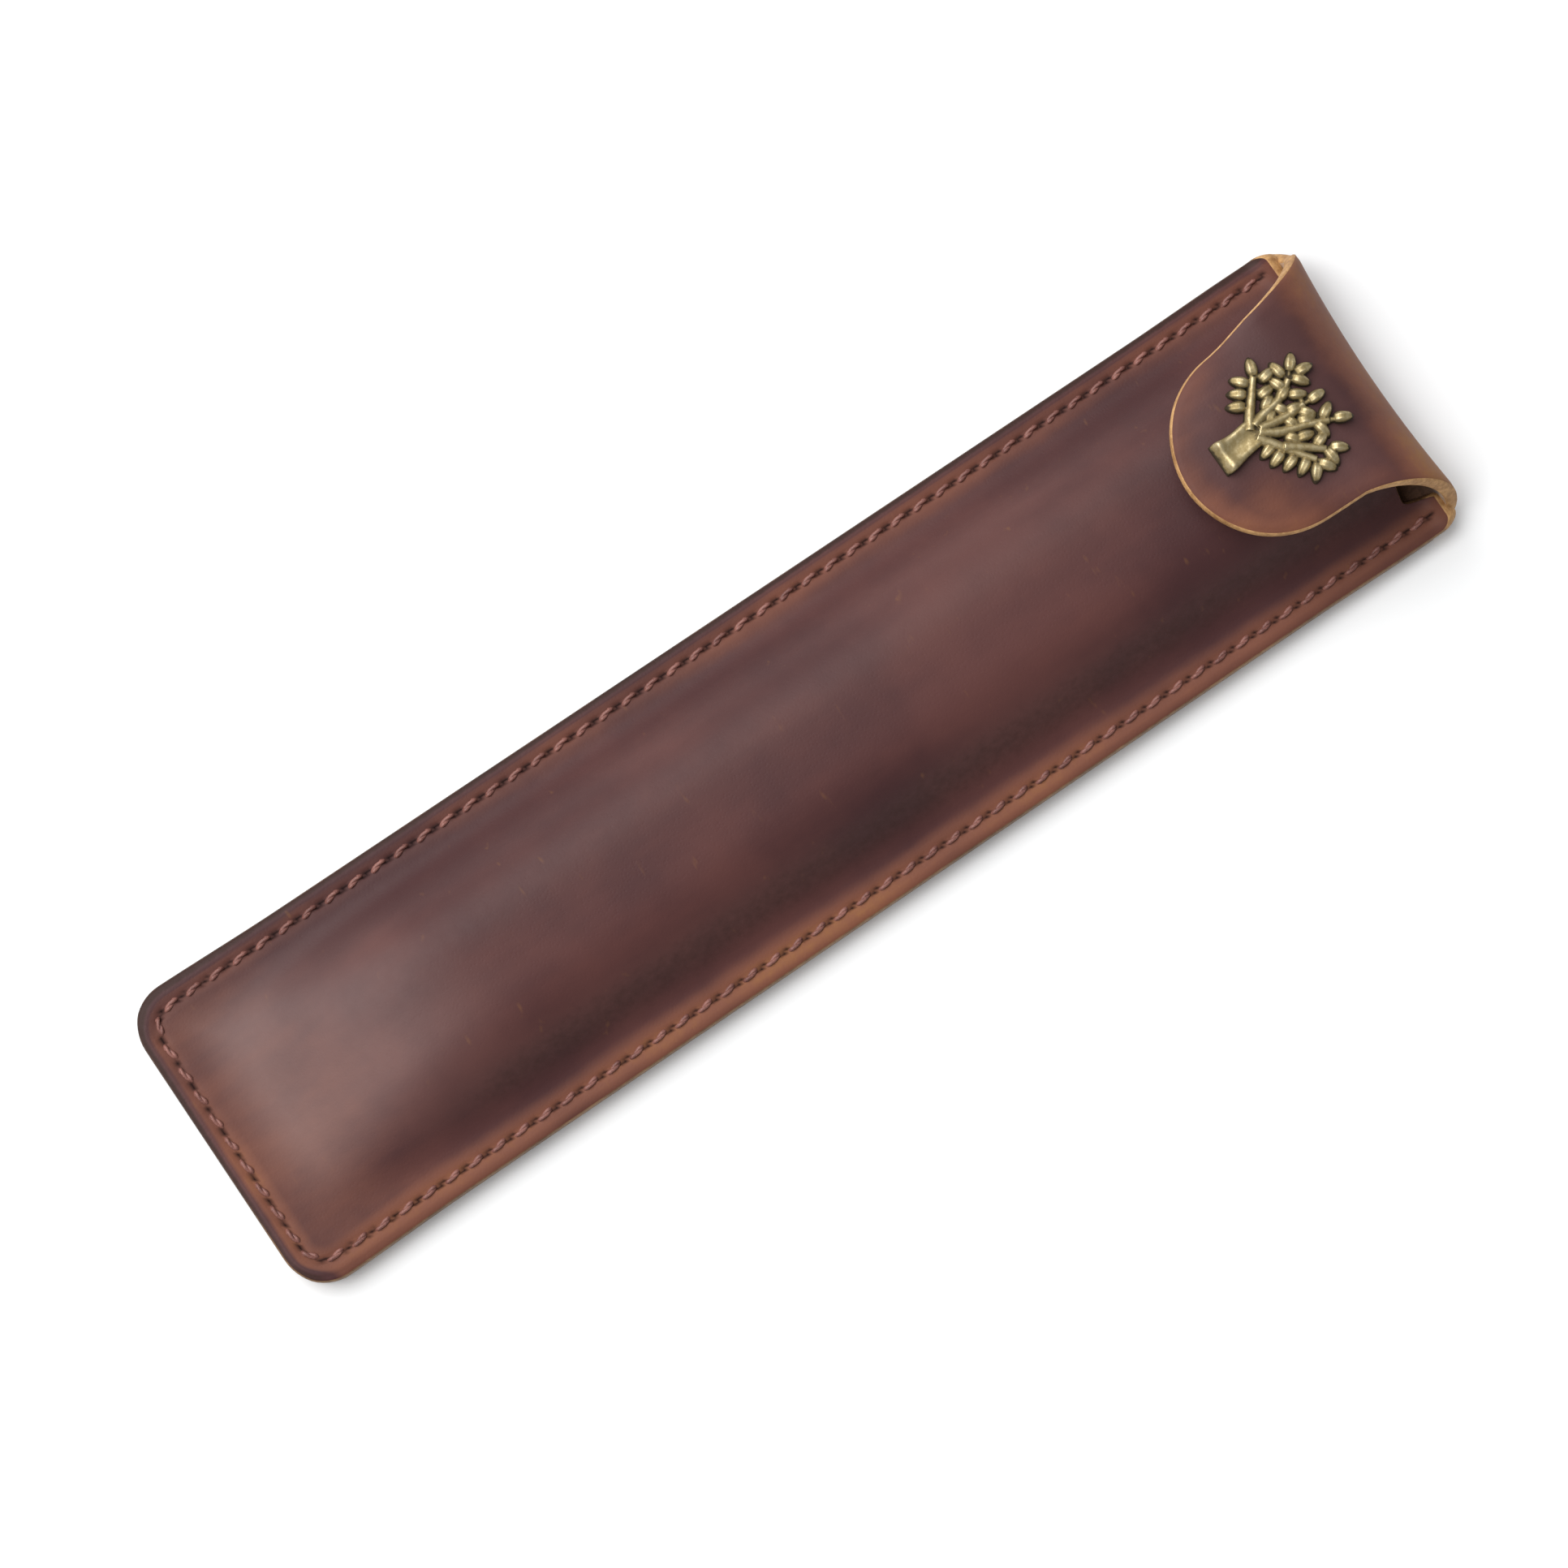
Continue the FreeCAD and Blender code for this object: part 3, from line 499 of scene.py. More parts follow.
@dataclass(frozen=True)
class WireFinish:
    """Drawn steel wire."""

    name: str = "spring_steel"
    low: Colour = (0.20, 0.19, 0.17)
    high: Colour = (0.48, 0.47, 0.44)

    def material(self) -> bpy.types.Material:
        """Build the material.

        Returns:
            The material.
        """
        graph = Graph(self.name)
        drawn = graph.noise(graph.place(), 1800.0, 3.0)
        return graph.surface({
            "Base Color": graph.blend(self.low, self.high, drawn.ramp(0.35, 0.65)),
            "Metallic": 1.0,
            "Roughness": 0.26 + drawn.swing(0.2),
            "Normal": graph.bump(drawn, 0.3, 0.00005),
        })


@dataclass(frozen=True)
class FloorFinish:
    """Plain pale floor."""

    name: str = "pale_floor"
    colour: Colour = (0.93, 0.93, 0.93)

    def material(self) -> bpy.types.Material:
        """Build the material."""
        sockets = {"Base Color": self.colour, "Roughness": 0.9, "Specular IOR Level": 0.1}
        return Graph(self.name).surface(sockets)


# Meshes


def add_mesh(
    name: str,
    points: np.ndarray,
    faces: list[Face],
    materials: list[bpy.types.Material],
    indices: list[int] | None = None,
    numbers: dict[str, np.ndarray] | None = None,
) -> bpy.types.Object:
    """Make an object from points in millimetres.

    Args:
        name: Name of the piece.
        points: Points, one row each.
        faces: Point numbers of each face.
        materials: Materials of the piece.
        indices: Material of each face.
        numbers: Numbers to store on the points, by name.

    Returns:
        The object.
    """
    mesh = bpy.data.meshes.new(name)
    mesh.from_pydata((points * MM).tolist(), [], faces)
    for material in materials:
        mesh.materials.append(material)
    if indices is not None:
        mesh.polygons.foreach_set("material_index", indices)
    for key, entry in (numbers or {}).items():
        store_numbers(mesh, key, entry)
    editor = bmesh.new()
    editor.from_mesh(mesh)
    bmesh.ops.recalc_face_normals(editor, faces=editor.faces)
    editor.to_mesh(mesh)
    editor.free()
    mesh.polygons.foreach_set("use_smooth", [True] * len(mesh.polygons))
    piece = bpy.data.objects.new(name, mesh)
    bpy.context.scene.collection.objects.link(piece)
    return piece


def store_numbers(mesh: bpy.types.Mesh, name: str, numbers: np.ndarray) -> None:
    """Store one number on each point of a mesh."""
    layer = mesh.attributes.new(name, "FLOAT", "POINT")
    layer.data.foreach_set("value", numbers.astype(np.float32))


def bar_faces(rings: int, sides: int, base: int = 0) -> list[Face]:
    """Faces of a bar made of rings of points and closed at both ends.

    Args:
        rings: Rings along the bar.
        sides: Points in a ring.
        base: Number of the bar's first point.

    Returns:
        The faces.
    """
    faces = []
    for start in range(base, base + (rings - 1) * sides, sides):
        for j in range(sides):
            a, b = start + j, start + (j + 1) % sides
            faces.append((a, b, b + sides, a + sides))
    last = base + (rings - 1) * sides
    faces.append(tuple(range(base + sides - 1, base - 1, -1)))
    faces.append(tuple(range(last, last + sides)))
    return faces


@dataclass
class HideSheet:
    """A cut of leather between two grids of points, with the numbers that its finishes read.

    pull_and_shade is how far the grain is paled, or darkened where it is below 0 by burnishing and by painted
    shade, and pale is the same of the flesh; wax_and_sheen is how much wax coat and painted sheen show.
    """

    name: str
    outline: "Outline"
    grain: np.ndarray
    flesh: np.ndarray
    pull_and_shade: np.ndarray
    slit: np.ndarray
    wax_and_sheen: np.ndarray
    pale: np.ndarray
    raw_start: Band
    joined: int | None = None
    bulge: float = 0.22
    edge_steps: int = 5
    ring: list[tuple[int, int]] = field(init=False)

    def __post_init__(self) -> None:
        """List the rows and columns of the grid's border, in order."""
        rows, columns = self.grain.shape[:2]
        self.ring = [(0, j) for j in range(columns)]
        self.ring += [(i, columns - 1) for i in range(1, rows)]
        self.ring += [(rows - 1, j) for j in range(columns - 2, -1, -1)]
        self.ring += [(i, 0) for i in range(rows - 2, 0, -1)]

    @staticmethod
    def _outward(top: np.ndarray, low: np.ndarray) -> np.ndarray:
        """Unit vectors out of the sheet along its border.

        Args:
            top: Border points of the grain side, in order.
            low: Border points of the flesh side, in order.

        Returns:
            One vector for each point.
        """
        along = np.roll(top, -1, axis=0) - np.roll(top, 1, axis=0)
        out = np.cross(along, top - low)
        out /= np.linalg.norm(out, axis=1, keepdims=True)
        away = np.sum(out * (top - top.mean(axis=0)))
        return out if away > 0.0 else -out

    def _meet(self, outward: np.ndarray) -> None:
        """Make the edge square along the row that meets the next sheet.

        Args:
            outward: Vectors along the border, changed in place.
        """
        beside = 1 if self.joined == 0 else self.joined - 1
        for k, (i, j) in enumerate(self.ring):
            if i == self.joined and 0 < j < self.grain.shape[1] - 1:
                outward[k] = 0.0
            elif i == self.joined:
                outward[k] = outward[self.ring.index((beside, j))]

    def _edge(self) -> list[np.ndarray]:
        """Points of the rounded edge.

        Returns:
            A loop of points for each step from the grain to the flesh.
        """
        top = np.array([self.grain[spot] for spot in self.ring])
        low = np.array([self.flesh[spot] for spot in self.ring])
        outward = self._outward(top, low)
        if self.joined is not None:
            self._meet(outward)
        loops = []
        for step in range(1, self.edge_steps):
            turn = math.pi * step / self.edge_steps
            share = (1.0 - math.cos(turn)) / 2.0
            loops.append(top + (low - top) * share + outward * self.bulge * math.sin(turn))
        return loops

    def _faces(self) -> tuple[list[Face], list[int]]:
        """Faces of the two sides and the edge.

        Returns:
            The faces and the material of each.
        """
        rows, columns = self.grain.shape[:2]
        count = rows * columns
        faces, indices = [], []
        for i in range(rows - 1):
            for j in range(columns - 1):
                a = i * columns + j
                quad = (a, a + columns, a + columns + 1, a + 1)
                faces += [quad, tuple(count + k for k in reversed(quad))]
                indices += [Side.GRAIN.value, Side.FLESH.value]
        border = np.array([i * columns + j for i, j in self.ring])
        steps = 2 * count + np.arange((self.edge_steps - 1) * len(border))
        loops = [border, *steps.reshape(-1, len(border)), count + border]
        for first, second in zip(loops, loops[1:]):
            quads = np.stack([first, np.roll(first, -1), np.roll(second, -1), second], axis=1)
            faces += [tuple(quad) for quad in quads.tolist()]
            indices += [Side.EDGE.value] * len(border)
        return faces, indices

    def _sharpen(self, mesh: bpy.types.Mesh) -> None:
        """Mark the two lines where the sheet meets the next one as sharp.

        Args:
            mesh: The sheet's mesh.
        """
        rows, columns = self.grain.shape[:2]
        first = self.joined * columns
        meeting = [set(range(start, start + columns)) for start in (first, rows * columns + first)]
        for edge in mesh.edges:
            edge.use_edge_sharp = any(set(edge.vertices) <= line for line in meeting)

    def build(self, materials: list[bpy.types.Material]) -> bpy.types.Object:
        """Close the sheet with a rounded edge.

        Args:
            materials: Grain, flesh and edge.

        Returns:
            The piece.
        """
        points = np.concatenate([self.grain.reshape(-1, 3), self.flesh.reshape(-1, 3), *self._edge()])
        none = np.zeros_like(self.pull_and_shade)
        rest = np.zeros(len(points) - 2 * self.pull_and_shade.size)
        sides = {"pull_and_shade": (self.pull_and_shade, self.pale), "slit": (self.slit, none), "wax_and_sheen": (self.wax_and_sheen, none)}
        numbers = {"raw": self.outline.raw(points, self.raw_start)}
        for key, (top, low) in sides.items():
            numbers[key] = np.concatenate([top.ravel(), low.ravel(), rest])
        faces, indices = self._faces()
        piece = add_mesh(self.name, points, faces, materials, indices, numbers)
        if self.joined is not None:
            self._sharpen(piece.data)
        return piece


# Seam


@dataclass
class Seam:
    """Saddle-stitched seam round the two sides and the closed end."""

    half_width: float = 20.5
    closed_end: float = -85.0
    mouth: float = 82.7
    corner: float = 5.5
    inset: float = 2.4
    first_hole: float = 1.6
    pitch: float = 3.3
    slant: float = 0.34
    gap: float = 0.48
    groove_half_width: float = 1.15
    groove_stop: float = 2.6
    groove_fade: float = 2.0
    slit_half_length: float = 0.95
    slit_half_width: float = 0.28
    slit_depth: float = 0.35
    slit_lean: float = math.radians(20.0)
    slit_wall: Band = (0.45, 0.75)
    slit_window: float = 1.5

    def lengths(self) -> tuple[float, float, float]:
        """Lengths of a side, a corner and the closed end."""
        side = self.mouth - self.first_hole - self.closed_end - self.corner
        return side, QUARTER * (self.corner - self.inset), 2.0 * (self.half_width - self.corner)

    def total(self) -> float:
        """Length of the whole seam."""
        side, bend, across = self.lengths()
        return 2.0 * (side + bend) + across

    def path(self, distance: float) -> tuple[np.ndarray, np.ndarray]:
        """Point and heading on the seam, whose second half mirrors its first.

        Args:
            distance: Millimetres from the left mouth end.

        Returns:
            The point and the unit heading, across and along the sleeve.
        """
        if distance > self.total() / 2.0:
            spot, heading = self.path(self.total() - distance)
            return spot * (-1.0, 1.0), heading * (1.0, -1.0)
        half = self.half_width - self.inset
        radius = self.corner - self.inset
        low = self.closed_end + self.inset
        side, bend, _ = self.lengths()
        if distance <= side:
            return np.array([-half, self.mouth - self.first_hole - distance]), np.array([0.0, -1.0])
        turn = min(distance - side, bend) / radius
        spot = np.array([radius - half - radius * math.cos(turn), low + radius - radius * math.sin(turn)])
        spot[0] += max(distance - side - bend, 0.0)
        return spot, np.array([math.sin(turn), -math.cos(turn)])

    def holes(self) -> list[tuple[float, np.ndarray, np.ndarray]]:
        """Holes of the seam.

        Returns:
            The distance, point and heading of each.
        """
        total = self.total()
        count = round(total / self.pitch)
        return [(total * k / count, *self.path(total * k / count)) for k in range(count + 1)]

    def edge_distance(self, x: np.ndarray, y: np.ndarray) -> np.ndarray:
        """Distance in from the sewn outline.

        Args:
            x: Places across.
            y: Places along.

        Returns:
            The distances.
        """
        over_x = np.abs(x) - (self.half_width - self.corner)
        over_y = self.closed_end + self.corner - y
        outside = np.hypot(np.maximum(over_x, 0.0), np.maximum(over_y, 0.0))
        return self.corner - outside - np.minimum(np.maximum(over_x, over_y), 0.0)

    def groove(self, x: np.ndarray, y: np.ndarray, depth: float) -> np.ndarray:
        """Depth of the stitching groove at each point.

        Args:
            x: Places across.
            y: Places along.
            depth: Depth at the middle of the groove.

        Returns:
            The depths.
        """
        off = np.abs(self.edge_distance(x, y) - self.inset) / self.groove_half_width
        return depth * (1.0 - ease(off)) * fall(y, (self.mouth - self.groove_stop, self.groove_fade))

    def slits(self, x: np.ndarray, y: np.ndarray) -> np.ndarray:
        """How far each point lies in a stitching slit.

        Args:
            x: Places across.
            y: Places along.

        Returns:
            Shares from 0 to 1.
        """
        found = np.zeros_like(x)
        for _, spot, heading in self.holes():
            near = (np.abs(x - spot[0]) < self.slit_window) & (np.abs(y - spot[1]) < self.slit_window)
            off_x, off_y = x[near] - spot[0], y[near] - spot[1]
            lean = math.atan2(heading[1], heading[0]) + self.slit_lean
            along = off_x * math.cos(lean) + off_y * math.sin(lean)
            across = off_y * math.cos(lean) - off_x * math.sin(lean)
            reach = np.hypot(along / self.slit_half_length, across / self.slit_half_width)
            found[near] = np.maximum(found[near], fall(reach, self.slit_wall))
        return found


# Hides


@dataclass
class Outline:
    """Sewn outline, thickness and fold that both panels share."""

    seam: Seam = field(default_factory=Seam)
    hide: float = 1.8
    fold_centre: Point = (80.4, 4.6)
    trim: float = 0.22
    trim_run: float = 2.0
    bevel_band: Band = (0.0, 0.9)
    flare: float = 0.30
    mouth_share: float = 0.6
    end_band: Band = (-82.0, 20.0)
    mouth_band: Band = (62.0, 16.0)
    right_raw: float = 0.34
    right_band: Band = (0.0, 20.0)
    row_step: float = 0.55
    corner_rows: int = 14
    border: float = 5.2
    edge_columns: int = 16
    middle_columns: int = 50

    def half_width(self, y: np.ndarray) -> np.ndarray:
        """Half of the width along the sleeve, a little fuller where nothing pulls the sides in.

        Args:
            y: Places along.

        Returns:
            The half widths.
        """
        seam = self.seam
        past = np.clip(seam.closed_end + seam.corner - y, 0.0, seam.corner)
        cut = seam.corner - np.sqrt(np.maximum(seam.corner**2 - past**2, 0.0))
        fuller = fall(y, self.end_band) + self.mouth_share * rise(y, self.mouth_band)
        return seam.half_width - cut + self.flare * fuller

    def trimmed(self, y: np.ndarray) -> np.ndarray:
        """Places along, with the closed end drawn in by the trim."""
        return y + self.trim * fall(y, (self.seam.closed_end, self.trim_run))

    def rows(self, last: float) -> np.ndarray:
        """Places of the rows, close together round the corners.

        Args:
            last: Place of the last row.

        Returns:
            The places.
        """
        seam = self.seam
        turns = np.linspace(0.0, QUARTER, self.corner_rows)
        bend = seam.closed_end + seam.corner * (1.0 - np.cos(turns))
        count = int((last - bend[-1]) / self.row_step)
        return np.concatenate([bend, np.linspace(bend[-1], last, count + 1)[1:]])

    def columns(self) -> np.ndarray:
        """Places of the columns, close together along the seams.

        Returns:
            The places as shares of the half width.
        """
        start = 1.0 - self.border / self.seam.half_width
        edge = np.linspace(start, 1.0, self.edge_columns)
        middle = np.linspace(-start, start, self.middle_columns)
        return np.concatenate([-edge[::-1], middle[1:-1], edge])

    def raw(self, points: np.ndarray, start: Band) -> np.ndarray:
        """How raw the edge is: burnished along the seam, less so on the right, and raw from a start on."""
        along_seam = self.right_raw * rise(points[:, 0], self.right_band)
        return np.maximum(along_seam, rise(points[:, 1], start))


@dataclass
class PocketFront:
    """Domed front panel, with a round-cornered tab each side of its mouth."""

    outline: Outline
    seam_top: float = 3.6
    flange: float = 4.8
    dome_height: float = 8.0
    crest_half_width: float = 3.4
    toe_radius: float = 3.0
    side_spread: float = 2.6
    end_run: float = 34.0
    end_toe_radius: float = 22.0
    end_spread: float = 4.0
    swells: tuple[tuple[float, float, float, float], ...] = (
        (0.07, 17.0, 9.0, 0.9),
        (0.07, 17.0, -9.0, 0.3),
        (0.18, 31.0, -14.0, 1.9),
        (0.03, 8.3, 5.0, 0.0),
    )
    settled: float = 0.28
    slack_rise: Band = (0.0, 5.0)
    slack_stop: Band = (52.0, 12.0)
    mouth: float = 79.2
    mouth_run: float = 6.0
    tab_radius: float = 1.3
    tab_rows: int = 9
    tab_side: float = 0.6
    tab_blend: float = 1.4
    tab_raw: Band = (81.3, 1.0)
    fold_inside: float = 2.75
    groove_depth: float = 0.16
    bevel: float = 0.22

    # Tones, with the bands over which they change; some paint shade and a pale sheen into the colour
    rim_pull: float = 0.38
    rim_pull_right: float = 0.18
    rim_band: Band = (2.6, 3.6)
    rim_right_band: Band = (-12.0, 24.0)
    end_pull: float = 0.32
    end_pull_band: Band = (-78.0, 26.0)
    # Painted shade: a dark band along the dome's right-hand crease, where the slope faces away from the lamps
    crease_shade_depth: float = 0.30
    crease_shade_place: float = 12.2
    crease_shade_spread: float = 3.0
    crease_shade_start: Band = (-72.0, 24.0)
    crease_shade_right_band: Band = (-8.0, 16.0)
    # Darker rim: a little burnishing all round (burn_least), and painted shade on the left side and at the
    # closed end
    burn_least: float = 0.12
    rim_burn_and_shade_band: Band = (0.4, 1.0)
    left_shade: Band = (-18.0, 18.0)
    end_shade: Band = (-83.0, 3.0)
    # Wax coat with painted sheen: a pale sheen on the closed end's slope and a weaker one on the left slope,
    # where the lamps reflect
    end_wax_and_sheen_in: Band = (2.6, 8.0)
    end_wax_and_sheen_along: Band = (-74.0, 34.0)
    end_wax_and_sheen_across: Band = (3.0, 12.0)
    left_wax_and_sheen: float = 0.20
    left_wax_and_sheen_in: Band = (4.0, 6.0)
    left_wax_and_sheen_along: Band = (44.0, 30.0)
    left_wax_and_sheen_across: Band = (-7.0, 9.0)

    def shoulder(self, inward: np.ndarray, run: float, toe_radius: float) -> np.ndarray:
        """Height of an S-shaped slope.

        Args:
            inward: Distance in from its foot.
            run: Distance from its foot to its top.
            toe_radius: Hollow bend at its foot.

        Returns:
            The height above the flange.
        """
        both = (run**2 + self.dome_height**2) / (2.0 * self.dome_height)
        crown = both - toe_radius
        d = np.clip(inward, 0.0, run)
        low = toe_radius - np.sqrt(np.maximum(toe_radius**2 - d**2, 0.0))
        high = self.dome_height - crown + np.sqrt(np.maximum(crown**2 - (run - d) ** 2, 0.0))
        return np.where(d < toe_radius / both * run, low, high)

    def eased_shoulder(self, inward: np.ndarray, run: float, toe_radius: float, spread: float) -> np.ndarray:
        """The slope with its bends eased over a distance.

        Args:
            inward: Distance in from its foot.
            run: Distance from its foot to its top.
            toe_radius: Hollow bend at its foot.
            spread: Distance over which it is averaged, each way.

        Returns:
            The height above the flange.
        """
        weights = np.array([1.0, 2.0, 3.0, 4.0, 3.0, 2.0, 1.0])
        shifts = np.linspace(-spread, spread, len(weights))
        heights = [self.shoulder(inward + shift, run, toe_radius) for shift in shifts]
        return sum(weight * height for weight, height in zip(weights, heights)) / weights.sum()

    def slack(self, x: np.ndarray, y: np.ndarray) -> np.ndarray:
        """Unevenness of the dome, from swells with a height, lengths along and across, and a start."""
        return sum(high * np.sin(y / long + x / wide + start) for high, long, wide, start in self.swells)

    def surface(self, x: np.ndarray, y: np.ndarray) -> np.ndarray:
        """Height of the outside before it is grooved.

        Args:
            x: Places across.
            y: Places along.

        Returns:
            The heights.
        """
        outline, seam = self.outline, self.outline.seam
        foot = seam.half_width - self.flange
        run = foot - self.crest_half_width
        side = self.eased_shoulder(foot - np.abs(x), run, self.toe_radius, self.side_spread)
        inward = y - seam.closed_end - self.flange
        end = self.eased_shoulder(inward, self.end_run, self.end_toe_radius, self.end_spread)
        dome = side * end / self.dome_height
        loose = (self.slack(x, y) - self.settled) * rise(dome, self.slack_rise) * fall(y, self.slack_stop)
        past = np.clip(y - outline.fold_centre[0], 0.0, self.fold_inside)
        under = outline.fold_centre[1] - np.sqrt(self.fold_inside**2 - past**2)
        lift = np.maximum(under - (self.seam_top - outline.hide), 0.0)
        return self.seam_top + dome + loose + np.where(past > 0.0, lift, 0.0)

    def normals(self, x: np.ndarray, y: np.ndarray) -> np.ndarray:
        """Unit normals of the outside.

        Args:
            x: Places across.
            y: Places along.

        Returns:
            One vector for each place.
        """
        reach = 0.05
        across = (self.surface(x + reach, y) - self.surface(x - reach, y)) / (2.0 * reach)
        along = (self.surface(x, y + reach) - self.surface(x, y - reach)) / (2.0 * reach)
        out = np.stack([-across, -along, np.ones_like(x)], axis=2)
        return out / np.linalg.norm(out, axis=2, keepdims=True)

    def grid(self) -> tuple[np.ndarray, np.ndarray]:
        """Lay out the panel's points, with its tabs and trim.

        Returns:
            The places across and along.
        """
        outline, seam = self.outline, self.outline.seam
        start = seam.mouth - self.tab_radius
        turns = np.linspace(0.0, QUARTER, self.tab_rows)[1:]
        places = np.concatenate([outline.rows(start), start + self.tab_radius * np.sin(turns)])
        columns = outline.columns()
        y = np.repeat(places[:, None], len(columns), axis=1)
        past = np.clip(y - start, 0.0, self.tab_radius)
        rounded = self.tab_radius - np.sqrt(np.maximum(self.tab_radius**2 - past**2, 0.0))
        x = columns[None, :] * (outline.half_width(y) - outline.trim - rounded)
        between = fall(np.abs(x), (seam.half_width - self.flange - self.tab_side, self.tab_blend))
        back = rise(y, (start - self.mouth_run, self.tab_radius + self.mouth_run))
        return x, outline.trimmed(y - (seam.mouth - self.mouth) * between * back)

    def tones(self, x: np.ndarray, y: np.ndarray) -> tuple[np.ndarray, np.ndarray]:
        """How far the grain is paled or darkened by painted shade, and how much wax coat and painted sheen
        show.

        Args:
            x: Places across.
            y: Places along.

        Returns:
            The pull with its painted shade, and the wax with its painted sheen.
        """
        edge = self.outline.seam.edge_distance(x, y)
        right = self.rim_pull_right * rise(x, self.rim_right_band)
        pull_and_shade = fall(edge, self.rim_band) * (self.rim_pull + right)
        pull_and_shade = np.maximum(pull_and_shade, self.end_pull * fall(y, self.end_pull_band))
        # Painted shade along the right-hand crease of the dome
        painted_crease_shade = bell(np.abs(x), self.crease_shade_place, self.crease_shade_spread) * rise(y, self.crease_shade_start)
        pull_and_shade = pull_and_shade - painted_crease_shade * self.crease_shade_depth * rise(x, self.crease_shade_right_band)
        # Painted shade on the left and closed-end rims, over a little burnishing all round
        shaded = np.maximum(fall(x, self.left_shade), fall(y, self.end_shade))
        pull_and_shade = pull_and_shade - fall(edge, self.rim_burn_and_shade_band) * (self.burn_least + (1.0 - self.burn_least) * shaded)
        # Wax coat and painted sheen on the closed end and the left slope
        wax_and_sheen = rise(edge, self.end_wax_and_sheen_in) * fall(y, self.end_wax_and_sheen_along) * fall(x, self.end_wax_and_sheen_across)
        left = rise(edge, self.left_wax_and_sheen_in) * fall(y, self.left_wax_and_sheen_along) * fall(x, self.left_wax_and_sheen_across)
        return pull_and_shade, np.maximum(wax_and_sheen, self.left_wax_and_sheen * left)

    def build(self, materials: list[bpy.types.Material]) -> bpy.types.Object:
        """Build the panel and set it on the frame.

        Args:
            materials: Grain, flesh and edge.

        Returns:
            The piece.
        """
        outline, seam = self.outline, self.outline.seam
        x, y = self.grid()
        smooth = np.stack([x, y, self.surface(x, y)], axis=2)
        flesh = smooth - self.normals(x, y) * outline.hide
        flesh[..., 2] = np.maximum(flesh[..., 2], self.seam_top - outline.hide)
        slit = seam.slits(x, y)
        bevel = self.bevel * fall(seam.edge_distance(x, y), outline.bevel_band)
        grain = smooth.copy()
        grain[..., 2] -= seam.groove(x, y, self.groove_depth) + slit * seam.slit_depth + bevel
        pull_and_shade, wax_and_sheen = self.tones(x, y)
        pale = np.zeros_like(x)
        sheet = HideSheet("front_hide", outline, grain, flesh, pull_and_shade, slit, wax_and_sheen, pale, self.tab_raw)
        piece = sheet.build(materials)
        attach(piece, Body.SLEEVE.value)
        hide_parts("front_panel")
        return piece


